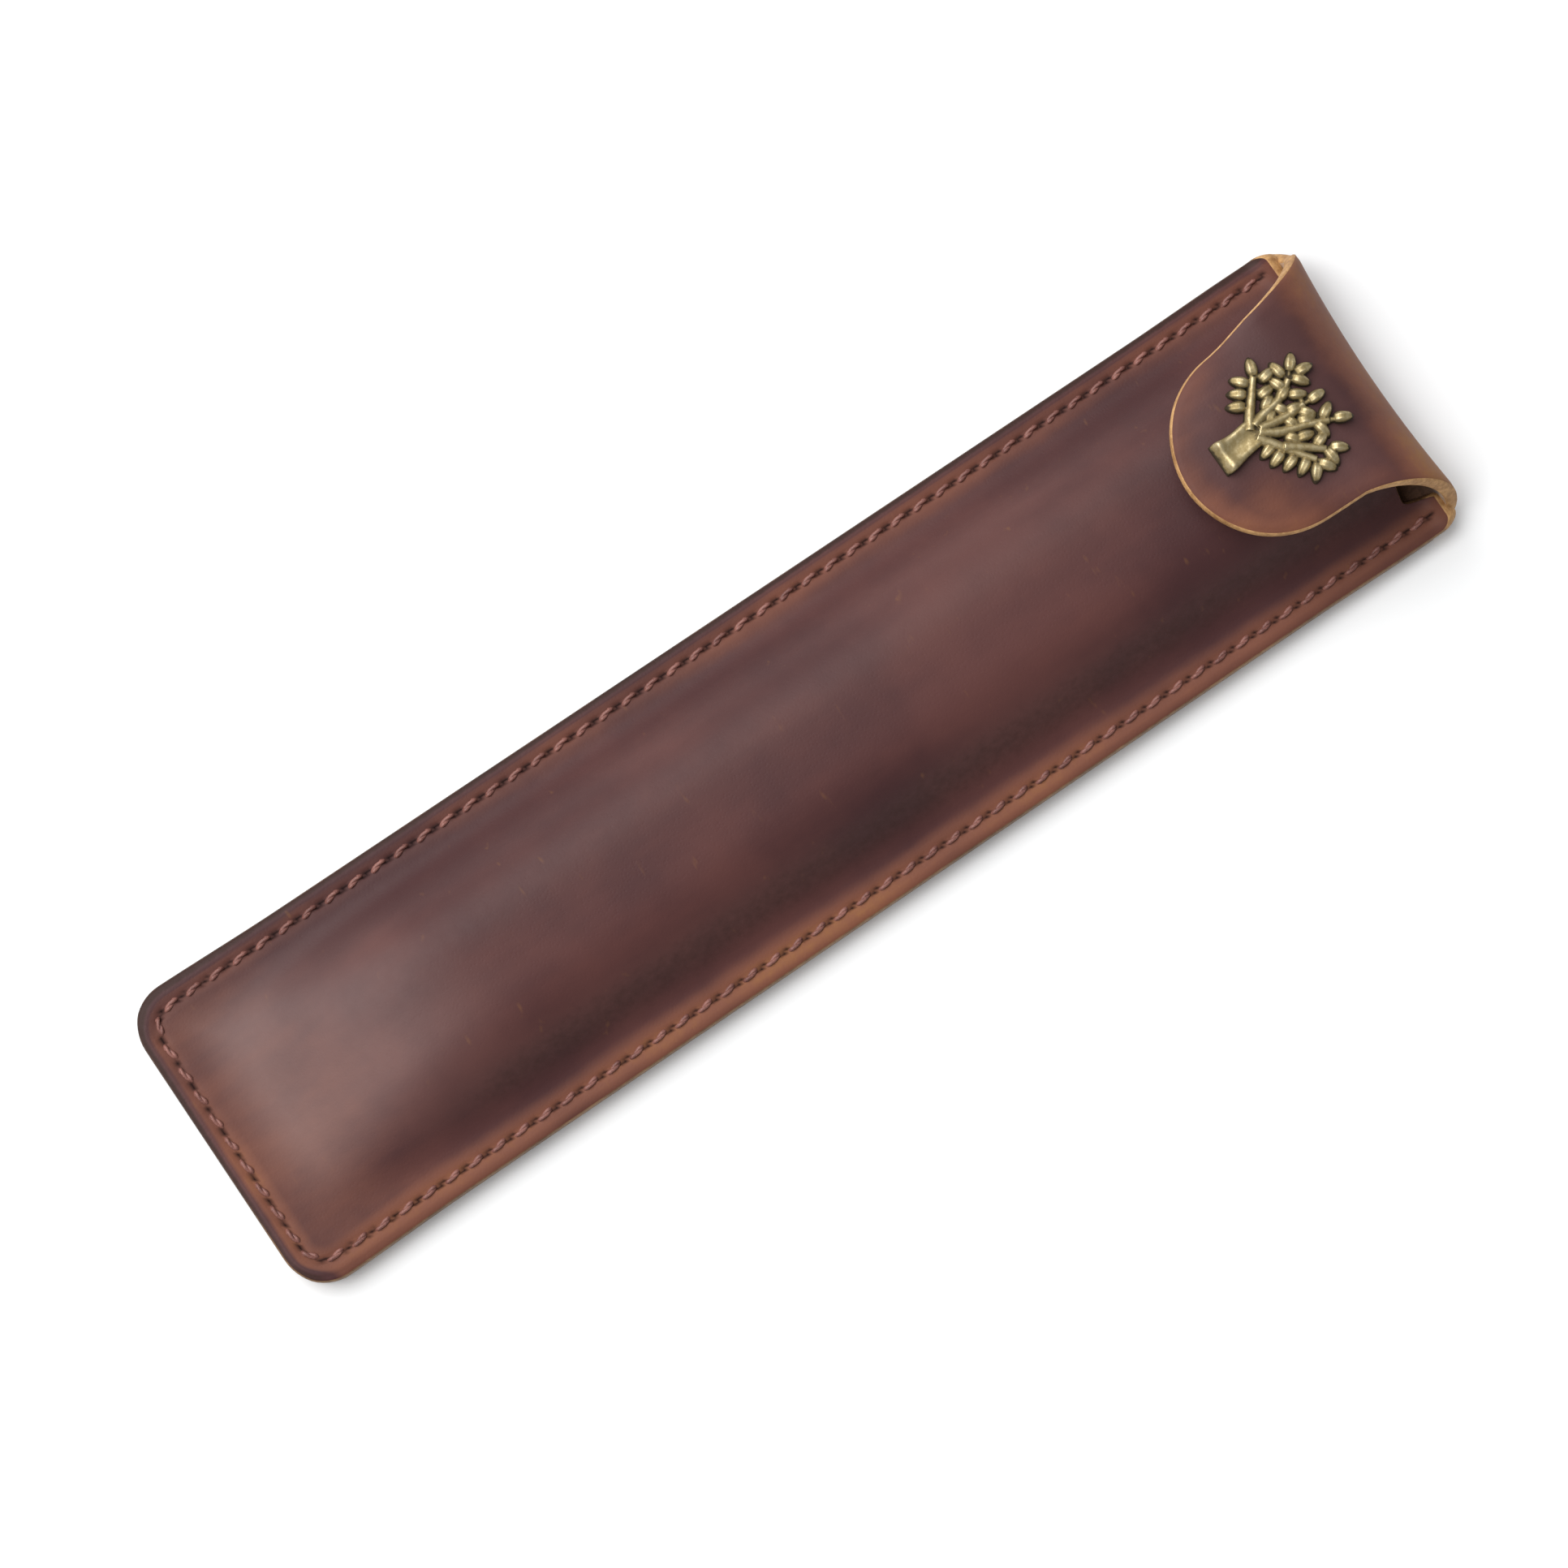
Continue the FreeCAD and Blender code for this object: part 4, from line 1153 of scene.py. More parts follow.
@dataclass
class BackAndFlap:
    """One hide for the back, the fold and the flap, in two pieces that meet at the outside of the fold."""

    outline: Outline
    lower_radius: float = 4.6
    upper_radius: float = 11.8
    tongue_radius: float = 12.2
    tongue_centre: float = 67.7
    left_neck: float = 13.6
    right_neck: float = 12.3
    flare_length: float = 26.0
    flare_ease: float = 0.35
    corner_swell: Triple = (0.09, 0.89, 0.07)
    corner_dip: Triple = (0.07, 0.70, 0.08)
    hollow: float = 1.0
    hollow_half_width: float = 17.5
    hollow_band: Band = (75.0, 10.0)
    horn: float = 0.5
    skew: float = 0.018
    droop: float = 0.7
    droop_start: float = 6.2
    droop_run: float = 6.0
    droop_band: Band = (68.0, 8.0)
    groove_depth: float = 0.42
    cut_fade: float = 1.0
    bevel: float = 0.16
    bend_share: float = 0.72
    bend_delay: float = 1.2
    lower_rows: int = 17
    upper_rows: int = 33
    lower_close_turn: float = 0.02
    upper_close_turn: float = 0.01
    flat_rows: int = 9
    tip_rows: int = 46
    tip_rows_kept: int = 11
    tip_turn: float = math.radians(86.7)
    tip_trim_run: float = 6.0
    tip_half_width: float = 0.4
    side_passes: int = 6
    flap_columns: int = 71

    # Tones, with the bands over which they change; the wax numbers also set a painted pale sheen
    bend_pull: float = 0.66
    bend_pull_right: float = 0.22
    bend_right_band: Band = (4.0, 12.0)
    bend_band: Band = (75.0, 8.0)
    seam_pull: float = 0.42
    seam_band: Band = (0.6, 5.0)
    back_raw: Band = (80.0, 1.2)
    back_pale_across: Band = (16.6, 2.2)
    back_pale_along: Band = (77.0, 3.0)
    back_wax_and_sheen: float = 0.5
    flap_wax_and_sheen: float = 0.3
    wax_and_sheen_band: Band = (0.0, 0.4)
    rim_pull: float = 0.58
    rim_band: Band = (0.4, 5.5)
    rim_right_band: Band = (-8.0, 16.0)
    rim_left: float = 0.5
    rim_dark: float = 0.55
    rim_dark_band: Band = (63.0, 8.0)
    rubbed: float = 0.44
    rubbed_spot: Point = (7.5, 62.5)
    rubbed_spread: float = 6.0
    flap_pale: Band = (0.6, 1.8)
    flap_raw: Band = (0.0, 1.0)

    @property
    def outermost(self) -> float:
        """Place of the outside of the fold along the sleeve."""
        return self.outline.fold_centre[0] + self.lower_radius

    @property
    def upper_end(self) -> float:
        """Place along the sleeve where the fold runs out into the flat of the flap."""
        return self.outermost - self.upper_radius

    @property
    def level(self) -> float:
        """Height of the flap's outside."""
        return self.outline.fold_centre[1] + self.upper_radius

    def flare(self, left: np.ndarray) -> list[np.ndarray]:
        """Half widths of the fold, which has a squarer corner on its left.

        Args:
            left: Length of leather before the flap's straight part.

        Returns:
            The half widths on the left and on the right.
        """
        t = np.clip(left / self.flare_length, 0.0, 1.0)
        full = self.outline.seam.half_width + self.outline.mouth_share * self.outline.flare
        share = (1.0 - self.flare_ease) * t + self.flare_ease * ease(t)
        swell, swell_at, swell_spread = self.corner_swell
        dip, dip_at, dip_spread = self.corner_dip
        squarer = share + swell * bell(t, swell_at, swell_spread) - dip * bell(t, dip_at, dip_spread)
        sides = ((self.left_neck, squarer), (self.right_neck, share))
        return [neck + (full - neck) * np.minimum(part, 1.0) for neck, part in sides]

    @staticmethod
    def spread(halves: list[np.ndarray], shares: np.ndarray) -> tuple[np.ndarray, np.ndarray]:
        """Places across the hide.

        Args:
            halves: Half widths on the left and on the right.
            shares: Places as shares of the half width, from -1 to 1.

        Returns:
            The places, and their distances in from the sides.
        """
        half = np.where(shares[None, :] < 0.0, halves[0][:, None], halves[1][:, None])
        x = half * shares[None, :]
        return x, half - np.abs(x)

    def paled(self, x: np.ndarray, y: np.ndarray) -> np.ndarray:
        """How far the bend has paled the grain, most at its right end."""
        most = self.bend_pull + self.bend_pull_right * rise(x, self.bend_right_band)
        return most * rise(y, self.bend_band)

    def hollowed(self, grid: np.ndarray) -> np.ndarray:
        """The fold with its middle drawn in from its corners, and a little askew as a hand leaves it.

        Args:
            grid: Points of one face.

        Returns:
            The moved points.
        """
        bent = grid.copy()
        middle = 1.0 - np.clip(np.abs(grid[..., 0]) / self.hollow_half_width, 0.0, 1.0) ** 2
        shift = self.horn - self.hollow * middle - self.skew * grid[..., 0]
        bent[..., 1] += shift * rise(grid[..., 1], self.hollow_band)
        return bent

    def back(self, materials: list[bpy.types.Material]) -> bpy.types.Object:
        """Back panel up to the outside of the fold.

        Args:
            materials: Grain, flesh and edge.

        Returns:
            The piece.
        """
        outline, seam = self.outline, self.outline.seam
        fold_y, fold_z = outline.fold_centre
        flat = outline.rows(fold_y)
        turns = np.linspace(0.0, QUARTER, self.lower_rows)[1:]
        turns = np.insert(turns, -1, QUARTER - self.lower_close_turn)
        row_y = np.concatenate([flat, fold_y + self.lower_radius * np.sin(turns)])
        row_z = np.concatenate([np.zeros_like(flat), fold_z - self.lower_radius * np.cos(turns)])
        inward_y = np.concatenate([np.zeros_like(flat), -np.sin(turns)])
        inward_z = np.concatenate([np.ones_like(flat), np.cos(turns)])
        inward = np.stack([np.zeros_like(row_y), inward_y, inward_z], axis=1)[:, None, :]
        left = self.upper_radius * QUARTER + self.lower_radius * (QUARTER - turns)
        sewn = outline.half_width(flat)
        halves = [np.concatenate([sewn, half]) - outline.trim for half in self.flare(left)]
        x, border = self.spread(halves, outline.columns())
        y = outline.trimmed(np.repeat(row_y[:, None], x.shape[1], axis=1))
        z = np.repeat(row_z[:, None], x.shape[1], axis=1)
        smooth = np.stack([x, y, z], axis=2)
        flesh = smooth + inward * outline.hide
        slit = np.where(y < fold_y, seam.slits(x, y), 0.0)
        edge = seam.edge_distance(x, y)
        cut = seam.groove(x, y, self.groove_depth) + slit * seam.slit_depth
        cut = cut * fall(y, (fold_y - self.cut_fade, self.cut_fade))
        bevel = self.bevel * fall(np.minimum(edge, border), outline.bevel_band)
        grain = smooth + inward * (cut + bevel)[..., None]
        pull_and_shade = np.maximum(self.seam_pull * fall(edge, self.seam_band), self.paled(x, y))
        # Wax coat and painted sheen on the back's body
        wax_and_sheen = self.back_wax_and_sheen * fall(pull_and_shade, self.wax_and_sheen_band)
        pale = rise(np.abs(x), self.back_pale_across) * rise(y, self.back_pale_along)
        grain, flesh, last = self.hollowed(grain), self.hollowed(flesh), len(row_y) - 1
        sheet = HideSheet("back_hide", outline, grain, flesh, pull_and_shade, slit, wax_and_sheen, pale, self.back_raw, last)
        piece = sheet.build(materials)
        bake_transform(piece)
        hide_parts("back_panel")
        return piece

    def flap(self, materials: list[bpy.types.Material]) -> bpy.types.Object:
        """Flap from the outside of the fold to its round tip.

        Args:
            materials: Grain, flesh and edge.

        Returns:
            The piece.
        """
        outline, fold_z = self.outline, self.outline.fold_centre[1]
        turns = np.insert(np.linspace(0.0, QUARTER, self.upper_rows), 1, self.upper_close_turn)
        arc_y = self.upper_end + self.upper_radius * np.cos(turns)
        flat_y = np.linspace(self.upper_end, self.tongue_centre, self.flat_rows)[1:]
        swing = np.linspace(0.0, self.tip_turn, self.tip_rows)[1:]
        round_y = self.tongue_centre - self.tongue_radius * np.sin(swing)
        level = np.full(len(flat_y) + len(round_y), self.level)
        row_y = np.concatenate([arc_y, flat_y, round_y])
        row_z = np.concatenate([fold_z + self.upper_radius * np.sin(turns), level])
        outward_y = np.concatenate([np.cos(turns), np.zeros_like(level)])
        outward_z = np.concatenate([np.sin(turns), np.ones_like(level)])
        outward = np.stack([np.zeros_like(row_y), outward_y, outward_z], axis=1)[:, None, :]
        halves = []
        for arc_half in self.flare(self.upper_radius * (QUARTER - turns)):
            flat_half = np.linspace(arc_half[-1], self.tongue_radius, self.flat_rows)[1:]
            half = np.concatenate([arc_half, flat_half, self.tongue_radius * np.cos(swing)])
            smooth_rows(half[len(turns):-self.tip_rows_kept], self.side_passes)
            halves.append(np.maximum(half - outline.trim, self.tip_half_width))
        x, border = self.spread(halves, np.linspace(-1.0, 1.0, self.flap_columns))
        y = np.repeat(row_y[:, None], x.shape[1], axis=1)
        y = y + outline.trim * fall(y, (self.tongue_centre - self.tongue_radius, self.tip_trim_run))
        reach = np.hypot(x, np.minimum(y - self.tongue_centre, 0.0))
        sunk = np.clip((reach - self.droop_start) / self.droop_run, 0.0, 1.0) ** 2
        z = row_z[:, None] - self.droop * sunk * fall(y, self.droop_band)
        outside = np.stack([x, y, z], axis=2)
        flesh = self.hollowed(outside - outward * outline.hide)
        border = np.minimum(border, np.where(y < self.tongue_centre, self.tongue_radius - reach, np.inf))
        bevel = self.bevel * fall(border, outline.bevel_band)
        grain = self.hollowed(outside - outward * bevel[..., None])
        right = self.rim_left + (1.0 - self.rim_left) * rise(x, self.rim_right_band)
        dark = self.rim_dark * rise(y, self.rim_dark_band)
        rim = self.rim_pull * fall(border, self.rim_band) * right * (1.0 - dark)
        spot_x, spot_y = self.rubbed_spot
        rubbed = bell(x, spot_x, self.rubbed_spread) * bell(y, spot_y, self.rubbed_spread)
        pull_and_shade = np.maximum(np.maximum(rim, self.rubbed * rubbed), self.paled(x, y))
        # Wax coat and painted sheen on the flap's body
        wax_and_sheen = self.flap_wax_and_sheen * fall(pull_and_shade, self.wax_and_sheen_band)
        slit, pale = np.zeros_like(pull_and_shade), fall(border, self.flap_pale)
        sheet = HideSheet("flap_hide", outline, grain, flesh, pull_and_shade, slit, wax_and_sheen, pale, self.flap_raw, 0)
        piece = sheet.build(materials)
        start = (0.0, (self.outermost - self.bend_delay) * MM, (fold_z + self.bend_delay) * MM)
        end = (0.0, self.upper_end * MM, self.level * MM)
        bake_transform(piece)
        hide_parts("flap_tongue", "flap_fold")
        return piece


# Thread


@dataclass
class SeamThread:
    """Two-ply stitches on both faces of the sewn edges."""

    seam: Seam
    ply_radius: float = 0.25
    ply_offset: float = 0.15
    turns: float = 0.8
    steps: int = 15
    sides: int = 6
    front_level: float = 3.52
    back_level: float = 0.34
    dive: float = 0.75
    dive_share: float = 0.20

    def strand(self, start: np.ndarray, end: np.ndarray, level: float, up: float, phase: float) -> np.ndarray:
        """Points along one ply of a stitch.

        Args:
            start: Where the stitch leaves its first hole.
            end: Where it enters its second hole.
            level: Height of its middle.
            up: 1 on the front, -1 on the back.
            phase: Where the ply starts round the thread.

        Returns:
            The points, ring by ring.
        """
        t = np.linspace(0.0, 1.0, self.steps)[:, None]
        run = end - start
        sideways = np.array([-run[1], run[0]]) / np.linalg.norm(run)
        sunk = self.dive * (1.0 - ease(np.minimum(t, 1.0 - t) / self.dive_share))
        turn = phase + 2.0 * math.pi * self.turns * t
        lift = level - up * sunk + self.ply_offset * np.sin(turn)
        centre = np.hstack([start + run * t + sideways * self.ply_offset * np.cos(turn), lift])
        tangent = np.gradient(centre, axis=0)
        first = np.cross(tangent, np.append(sideways, 0.0))
        second = np.cross(tangent, first)
        first, second = (axis / np.linalg.norm(axis, axis=1, keepdims=True) for axis in (first, second))
        angles = (np.arange(self.sides) * 2.0 * math.pi / self.sides)[None, :, None]
        ring = first[:, None, :] * np.cos(angles) + second[:, None, :] * np.sin(angles)
        return (centre[:, None, :] + ring * self.ply_radius).reshape(-1, 3)

    def stitch(self, first: list[np.ndarray], second: list[np.ndarray]) -> list[np.ndarray]:
        """Plies of one stitch on both faces.

        Args:
            first: Point and heading of the hole that it leaves.
            second: Point and heading of the hole that it enters.

        Returns:
            The points of each ply.
        """
        (spot, heading), (goal, onward) = first, second
        left, onward_left = np.array([-heading[1], heading[0]]), np.array([-onward[1], onward[0]])
        start = spot - left * self.seam.slant + heading * self.seam.gap
        end = goal + onward_left * self.seam.slant - onward * self.seam.gap
        faces = ((self.front_level, 1.0), (self.back_level, -1.0))
        return [self.strand(start, end, level, up, phase) for level, up in faces for phase in (0.0, math.pi)]

    def build(self, material: bpy.types.Material) -> list[bpy.types.Object]:
        """Build the three seams.

        Args:
            material: The thread's material.

        Returns:
            The pieces.
        """
        side, bend, _ = self.seam.lengths()
        left_end = side + bend / 2.0
        right_start = self.seam.total() - left_end
        holes = self.seam.holes()
        groups: dict[str, list[np.ndarray]] = {"left": [], "bottom": [], "right": []}
        for (at, *first), (then, *second) in zip(holes, holes[1:]):
            middle = (at + then) / 2.0
            key = "left" if middle < left_end else "right" if middle > right_start else "bottom"
            groups[key] += self.stitch(first, second)
        pieces = []
        for key, strands in groups.items():
            size = self.steps * self.sides
            faces = []
            for k in range(len(strands)):
                faces += bar_faces(self.steps, self.sides, k * size)
            piece = add_mesh(f"{key}_stitches", np.concatenate(strands), faces, [material])
            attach(piece, Body.SLEEVE.value)
            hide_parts(f"{key}_seam_thread")
            pieces.append(piece)
        return pieces


# Tree ornament


@dataclass
class TreeOrnament:
    """Cast tree on the flap: a trunk with a hollow face, boughs and bud-shaped leaves.

    A knot of the trunk is a place across and along, a half width and a height. A leaf is its middle and the
    angle from +X to its tip.
    """

    level: float
    trunk: tuple[tuple[float, float, float, float], ...] = (
        (-0.75, 60.15, 2.10, 0.50),
        (-0.75, 60.90, 2.15, 1.90),
        (-0.75, 61.30, 2.15, 2.20),
        (-0.80, 62.20, 1.95, 1.70),
        (-0.95, 63.60, 1.75, 1.70),
        (-1.15, 65.00, 1.85, 1.75),
        (-1.35, 66.30, 1.75, 1.65),
        (-1.40, 67.30, 1.15, 1.20),
    )
    trunk_rings: int = 36
    trunk_sides: int = 30
    trunk_passes: int = 10
    trunk_hollow: float = 0.36
    trunk_roundness: float = 0.4
    boughs: tuple[tuple[Point, ...], ...] = (
        ((-1.7, 65.4), (-3.2, 66.5), (-5.1, 68.1), (-6.9, 69.6)),
        ((-1.9, 66.2), (-2.5, 68.2), (-2.8, 70.6), (-4.3, 73.0)),
        ((-1.2, 66.6), (-0.9, 68.6), (-0.6, 70.6), (-0.8, 72.8)),
        ((-0.9, 66.2), (0.6, 68.6), (1.4, 71.4), (2.5, 74.2)),
        ((-0.5, 65.6), (1.4, 67.1), (3.6, 68.6), (5.6, 70.2)),
        ((2.2, 67.7), (3.2, 69.2), (4.4, 70.9), (5.2, 71.9)),
    )
    bough_radii: tuple[float, float] = (0.80, 0.52)
    bough_height: float = 1.9
    bough_rings: int = 22
    bough_sides: int = 14
    bough_passes: int = 6
    bough_roundness: float = 0.75
    stalk_radius: float = 0.38
    stalk_height: float = 2.0
    stalk_rings: int = 6
    stalk_sides: int = 12
    leaf_half: Triple = (1.40, 0.78, 1.30)
    leaf_reach: float = 0.98
    leaf_taper: float = 0.22
    leaf_roundness: float = 0.8
    leaf_rings: int = 9
    leaf_sides: int = 12
    rib_depth: float = 0.16
    rib_half_width: float = 0.13
    leaves: tuple[Triple, ...] = (
        (-8.0, 70.1, 160.0), (-7.3, 67.9, 225.0), (-6.2, 66.8, 235.0), (-5.0, 65.8, 240.0),
        (-6.2, 71.2, 100.0), (-4.6, 69.9, 95.0), (-5.9, 74.4, 140.0), (-6.0, 72.5, 190.0),
        (-4.4, 75.3, 85.0), (-3.4, 74.2, 40.0), (-4.6, 71.5, 200.0), (-2.2, 72.9, 60.0),
        (-1.7, 70.2, 35.0), (-0.8, 74.7, 92.0), (0.4, 72.6, 40.0), (-1.9, 68.7, 130.0),
        (0.4, 70.3, 20.0), (3.1, 75.9, 65.0), (1.3, 74.6, 120.0), (3.0, 72.9, 10.0),
        (2.5, 70.8, 75.0), (6.9, 70.9, 35.0), (5.9, 73.4, 55.0), (3.8, 72.1, 110.0),
        (6.4, 72.0, 5.0), (2.9, 66.3, 290.0), (4.2, 67.3, 290.0), (5.5, 68.4, 300.0),
        (6.9, 69.3, 320.0), (1.5, 65.9, 285.0), (-3.3, 71.6, 110.0), (-1.0, 71.6, 80.0),
        (1.0, 72.0, 60.0), (-3.4, 69.3, 120.0), (2.0, 69.4, 40.0),
    )
    grain: float = 0.08
    melt_factor: float = 0.5
    melt_passes: int = 2
    rub_passes: int = 36
    rub_relief: float = 0.20
    # Painted shade near the flap and on faces that turn away from above
    base_shade_height: Band = (0.0, 1.1)
    side_shade_facing: Band = (-0.15, 0.75)
    side_shade_share: float = 0.75
    rub_proud: float = 0.48

    def bar(self, path: np.ndarray, radii: np.ndarray, heights: np.ndarray, section: np.ndarray) -> Solid:
        """A solid bar along a path, flat underneath.

        Args:
            path: Points across and along the sleeve.
            radii: Half widths.
            heights: Heights above the flap.
            section: Shares of the height from one side of the bar over to the other.

        Returns:
            Points and faces.
        """
        tangent = np.gradient(path, axis=0)
        tangent /= np.linalg.norm(tangent, axis=1, keepdims=True)
        reach = np.cos(np.linspace(0.0, math.pi, len(section)))[None, :] * radii[:, None]
        x = path[:, :1] - tangent[:, 1:] * reach
        y = path[:, 1:] + tangent[:, :1] * reach
        z = self.level + heights[:, None] * section[None, :]
        return np.stack([x, y, z], axis=2).reshape(-1, 3), bar_faces(len(path), len(section))

    @staticmethod
    def over(sides: int, roundness: float) -> np.ndarray:
        """Section of a bar, from one side over to the other, squarer with less roundness."""
        return np.sin(np.linspace(0.0, math.pi, sides)) ** roundness

    def leaf(self, x: float, y: float, angle: float) -> Solid:
        """One bud-shaped leaf with a groove along it.

        Args:
            x: Middle, across the sleeve.
            y: Middle, along the sleeve.
            angle: Degrees from +X to its tip.

        Returns:
            Points and faces.
        """
        long, wide, tall = self.leaf_half
        turn = math.radians(angle)
        t = np.linspace(-self.leaf_reach, self.leaf_reach, self.leaf_rings)[:, None]
        swell = np.sqrt(1.0 - t * t) * (1.0 - self.leaf_taper * t)
        along = t * long
        across = -np.cos(np.linspace(0.0, math.pi, self.leaf_sides))[None, :] * wide * swell
        rib = 1.0 - self.rib_depth * bell(across, 0.0, self.rib_half_width)
        z = self.level + self.over(self.leaf_sides, self.leaf_roundness)[None, :] * tall * swell * rib
        across_x = x + along * math.cos(turn) - across * math.sin(turn)
        along_y = y + along * math.sin(turn) + across * math.cos(turn)
        return np.stack([across_x, along_y, z], axis=2).reshape(-1, 3), bar_faces(*z.shape)

    def stalk(self, spot: Triple, lines: list[np.ndarray]) -> Solid:
        """A short bar from a leaf to the nearest bough.

        Args:
            spot: The leaf's middle and angle.
            lines: Paths of the boughs.

        Returns:
            Points and faces.
        """
        every = np.concatenate(lines)
        middle = np.array(spot[:2])
        root = every[np.argmin(np.linalg.norm(every - middle, axis=1))]
        radii = np.full(self.stalk_rings, self.stalk_radius)
        section = self.over(self.stalk_sides, self.bough_roundness)
        path = np.linspace(root, middle, self.stalk_rings)
        return self.bar(path, radii, radii * self.stalk_height, section)

    @staticmethod
    def drop_specks(mesh: bpy.types.Mesh) -> None:
        """Keep the casting's outer skin and delete any pinhole closed up inside it.

        Args:
            mesh: The melted casting.
        """
        work = bmesh.new()
        work.from_mesh(mesh)
        waiting = set(work.verts)
        skins = []
        while waiting:
            skin = [waiting.pop()]
            for vert in skin:
                near = {edge.other_vert(vert) for edge in vert.link_edges} & waiting
                waiting -= near
                skin += near
            skins.append(skin)
        skins.sort(key=len)
        bmesh.ops.delete(work, geom=[vert for skin in skins[:-1] for vert in skin], context="VERTS")
        work.to_mesh(mesh)
        work.free()

    def melt(self, piece: bpy.types.Object) -> None:
        """Melt the bars and leaves into one skin.

        Args:
            piece: The joined tree.
        """
        skin = piece.modifiers.new("skin", "REMESH")
        skin.mode = "VOXEL"
        skin.voxel_size = self.grain * MM
        soften = piece.modifiers.new("soften", "SMOOTH")
        soften.factor = self.melt_factor
        soften.iterations = self.melt_passes
        graph = bpy.context.evaluated_depsgraph_get()
        mesh = bpy.data.meshes.new_from_object(piece.evaluated_get(graph), depsgraph=graph)
        self.drop_specks(mesh)
        piece.modifiers.clear()
        piece.data = mesh
        mesh.name = piece.name
        mesh.polygons.foreach_set("use_smooth", [True] * len(mesh.polygons))

    def rub_and_shade(self, mesh: bpy.types.Mesh) -> None:
        """Store how rubbed each point is, with painted shade: most on top of what stands proud, and darker as
        painted shade where the surface faces sideways or down and near the flap.

        Args:
            mesh: The melted casting.
        """
        count = len(mesh.vertices)
        spots, facing = np.empty(count * 3), np.empty(count * 3)
        mesh.vertices.foreach_get("co", spots)
        mesh.vertices.foreach_get("normal", facing)
        ends = np.empty(len(mesh.edges) * 2, dtype=np.int64)
        mesh.edges.foreach_get("vertices", ends)
        a, b = ends.reshape(-1, 2).T
        height = spots[2::3] / MM - self.level
        near = np.maximum(np.bincount(a, minlength=count) + np.bincount(b, minlength=count), 1)
        spread = height.copy()
        for _ in range(self.rub_passes):
            total = np.bincount(a, spread[b], count) + np.bincount(b, spread[a], count)
            spread = (spread + total / near) / 2.0
        proud = np.clip((height - spread) / self.rub_relief, -1.0, 1.0)
        # Painted shade on faces that turn sideways or down
        side_shade = fall(facing[2::3], self.side_shade_facing)
        rubbed = (1.0 - self.side_shade_share * side_shade) * (1.0 - self.rub_proud * (1.0 - proud))
        store_numbers(mesh, "rub_and_shade", rise(height, self.base_shade_height) * rubbed)

    def build(self, material: bpy.types.Material) -> bpy.types.Object:
        """Join trunk, boughs and leaves into one casting and set it on the flap.

        Args:
            material: The casting's material.

        Returns:
            The piece.
        """
        rows = draw_through(self.trunk, self.trunk_rings, self.trunk_passes)
        face = 1.0 - self.trunk_hollow * self.over(self.trunk_sides, 4.0)
        section = self.over(self.trunk_sides, self.trunk_roundness) * face
        parts = [self.bar(rows[:, :2], rows[:, 2], rows[:, 3], section)]
        lines = [draw_through(knots, self.bough_rings, self.bough_passes) for knots in self.boughs]
        radii = np.linspace(*self.bough_radii, self.bough_rings)
        section = self.over(self.bough_sides, self.bough_roundness)
        parts += [self.bar(line, radii, radii * self.bough_height, section) for line in lines]
        parts += [self.leaf(*spot) for spot in self.leaves]
        parts += [self.stalk(spot, lines) for spot in self.leaves]
        faces, base = [], 0
        for points, links in parts:
            faces += [tuple(base + k for k in link) for link in links]
            base += len(points)
        piece = add_mesh("tree_casting", np.concatenate([points for points, _ in parts]), faces, [material])
        self.melt(piece)
        self.rub_and_shade(piece.data)
        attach(piece, Body.FLAP.value)
        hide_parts("tree_charm")
        return piece


# Studio


@dataclass(frozen=True)
class Lamp:
    """Soft square lamp that faces the sleeve, with its side in metres and its power in watts."""

    name: str
    place: Triple
    size: float
    power: float

    def hang(self) -> None:
        """Add the lamp to the scene."""
        light = bpy.data.lights.new(self.name, "AREA")
        light.shape = "SQUARE"
        light.size = self.size
        light.energy = self.power
        lamp = bpy.data.objects.new(self.name, light)
        lamp.location = self.place
        lamp.rotation_euler = (-Vector(self.place)).to_track_quat("-Z", "Y").to_euler()
        bpy.context.scene.collection.objects.link(lamp)


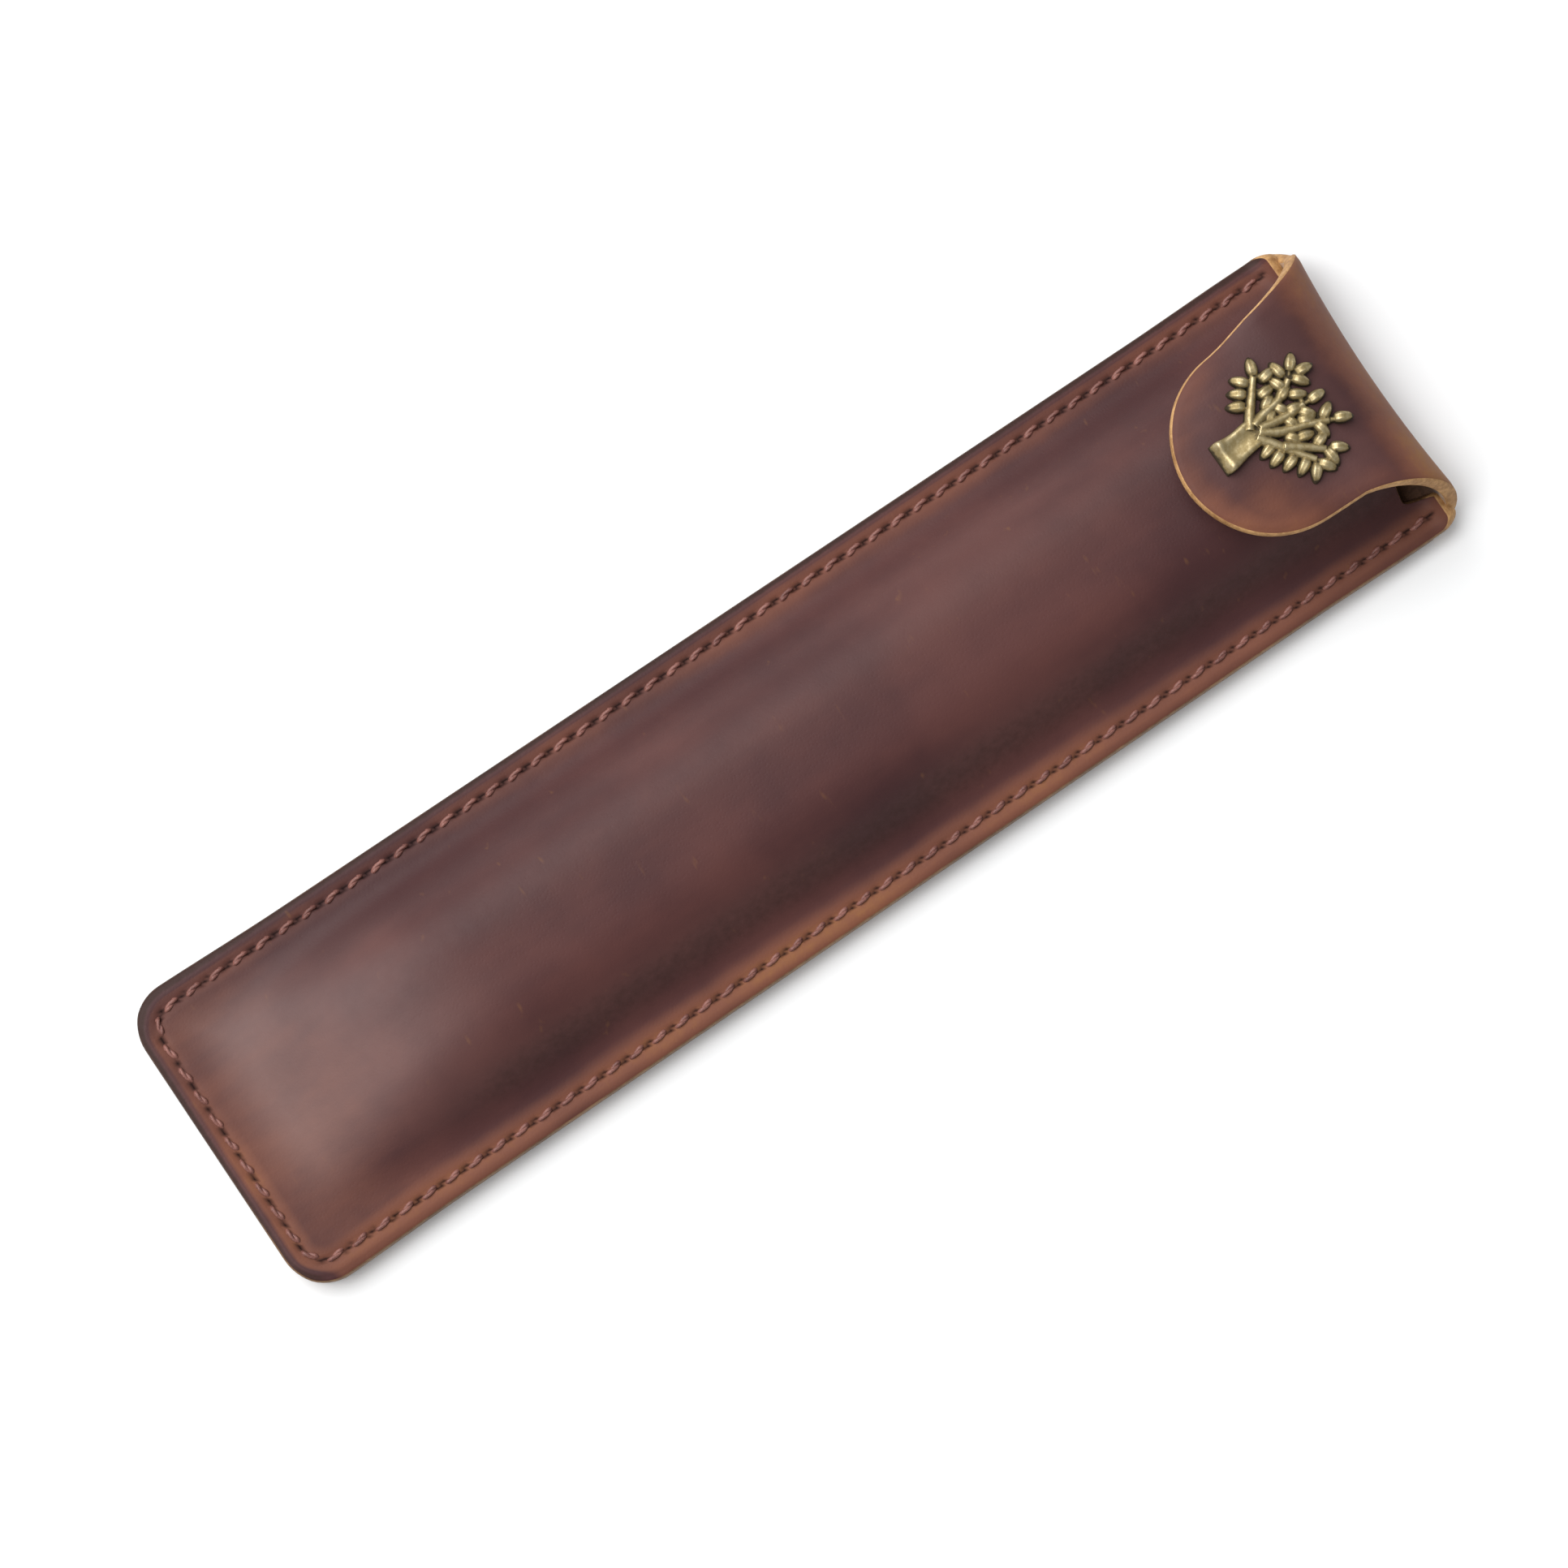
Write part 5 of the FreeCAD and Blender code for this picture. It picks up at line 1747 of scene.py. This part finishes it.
@dataclass
class Studio:
    """Pale floor, soft lamps and the camera."""

    camera_place: Triple = (0.044682, -0.055155, 0.495342)
    camera_turn: Triple = (7.5377, -2.1143, 55.7076)
    lens: float = 93.949
    sensor: float = 36.0
    nearest: float = 0.01
    floor_half: float = 3.0
    floor_drop: float = 0.0002
    sky: float = 0.34
    sky_colour: Colour = (0.95, 0.98, 1.0)
    lamps: tuple[Lamp, ...] = (
        Lamp("window", (-0.92, -0.36, 1.36), 1.60, 30.0),
        Lamp("foot", (-0.20, -1.10, 1.52), 1.20, 14.5),
    )

    def floor(self) -> None:
        """Lay the floor."""
        h, z = self.floor_half, -self.floor_drop
        mesh = bpy.data.meshes.new("floor")
        mesh.from_pydata([(-h, -h, z), (h, -h, z), (h, h, z), (-h, h, z)], [], [(0, 1, 2, 3)])
        mesh.materials.append(FloorFinish().material())
        floor = bpy.data.objects.new("floor", mesh)
        bpy.context.scene.collection.objects.link(floor)

    def camera(self) -> None:
        """Set up the camera at the photograph's viewing angle."""
        camera = bpy.data.cameras.new("camera")
        camera.lens = self.lens
        camera.sensor_width = self.sensor
        camera.clip_start = self.nearest
        eye = bpy.data.objects.new("camera", camera)
        eye.location = self.camera_place
        eye.rotation_euler = tuple(math.radians(turn) for turn in self.camera_turn)
        bpy.context.scene.collection.objects.link(eye)
        bpy.context.scene.camera = eye

    def set_up(self) -> None:
        """Make the world, the floor, the lamps and the camera."""
        scene = bpy.context.scene
        scene.view_settings.view_transform = "Standard"
        world = bpy.data.worlds.new("studio")
        world.use_nodes = True
        background = world.node_tree.nodes["Background"].inputs
        background["Color"].default_value = (*self.sky_colour, 1.0)
        background["Strength"].default_value = self.sky
        scene.world = world
        self.floor()
        for lamp in self.lamps:
            lamp.hang()
        self.camera()


# Hardware and running order


def dress_hardware(nodes: dict[str, bpy.types.Object]) -> None:
    """Give the press stud's CAD nodes their metals.

    Args:
        nodes: The frame's nodes by name.
    """
    brass = BrassFinish("snap_brass", cast=False, gloss=0.26).material()
    metals = dict.fromkeys(("snap_socket", "snap_stud", "stud_post", "charm_screw"), brass)
    metals["socket_spring"] = WireFinish().material()
    for name, metal in metals.items():
        slots = nodes[name].data.materials
        slots.clear()
        slots.append(metal)
        LOG.info("dressed %s", name)


def report(*pieces: bpy.types.Object) -> None:
    """Log pieces that have been built."""
    for piece in pieces:
        LOG.info("built %s", piece.name)


def main() -> None:
    """Build the sleeve's pieces in order."""
    logging.basicConfig(level=logging.INFO, format="%(name)s: %(message)s")
    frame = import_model()
    Studio().set_up()
    hides = [finish.material() for finish in (GrainFinish(), FleshFinish(), EdgeFinish())]
    outline = Outline()
    report(PocketFront(outline).build(hides))
    hide = BackAndFlap(outline)
    report(hide.back(hides), hide.flap(hides))
    report(*SeamThread(outline.seam).build(ThreadFinish().material()))
    report(TreeOrnament(hide.level).build(BrassFinish("antique_brass").material()))
    dress_hardware(frame["nodes"])


if __name__ == "__main__":
    main()
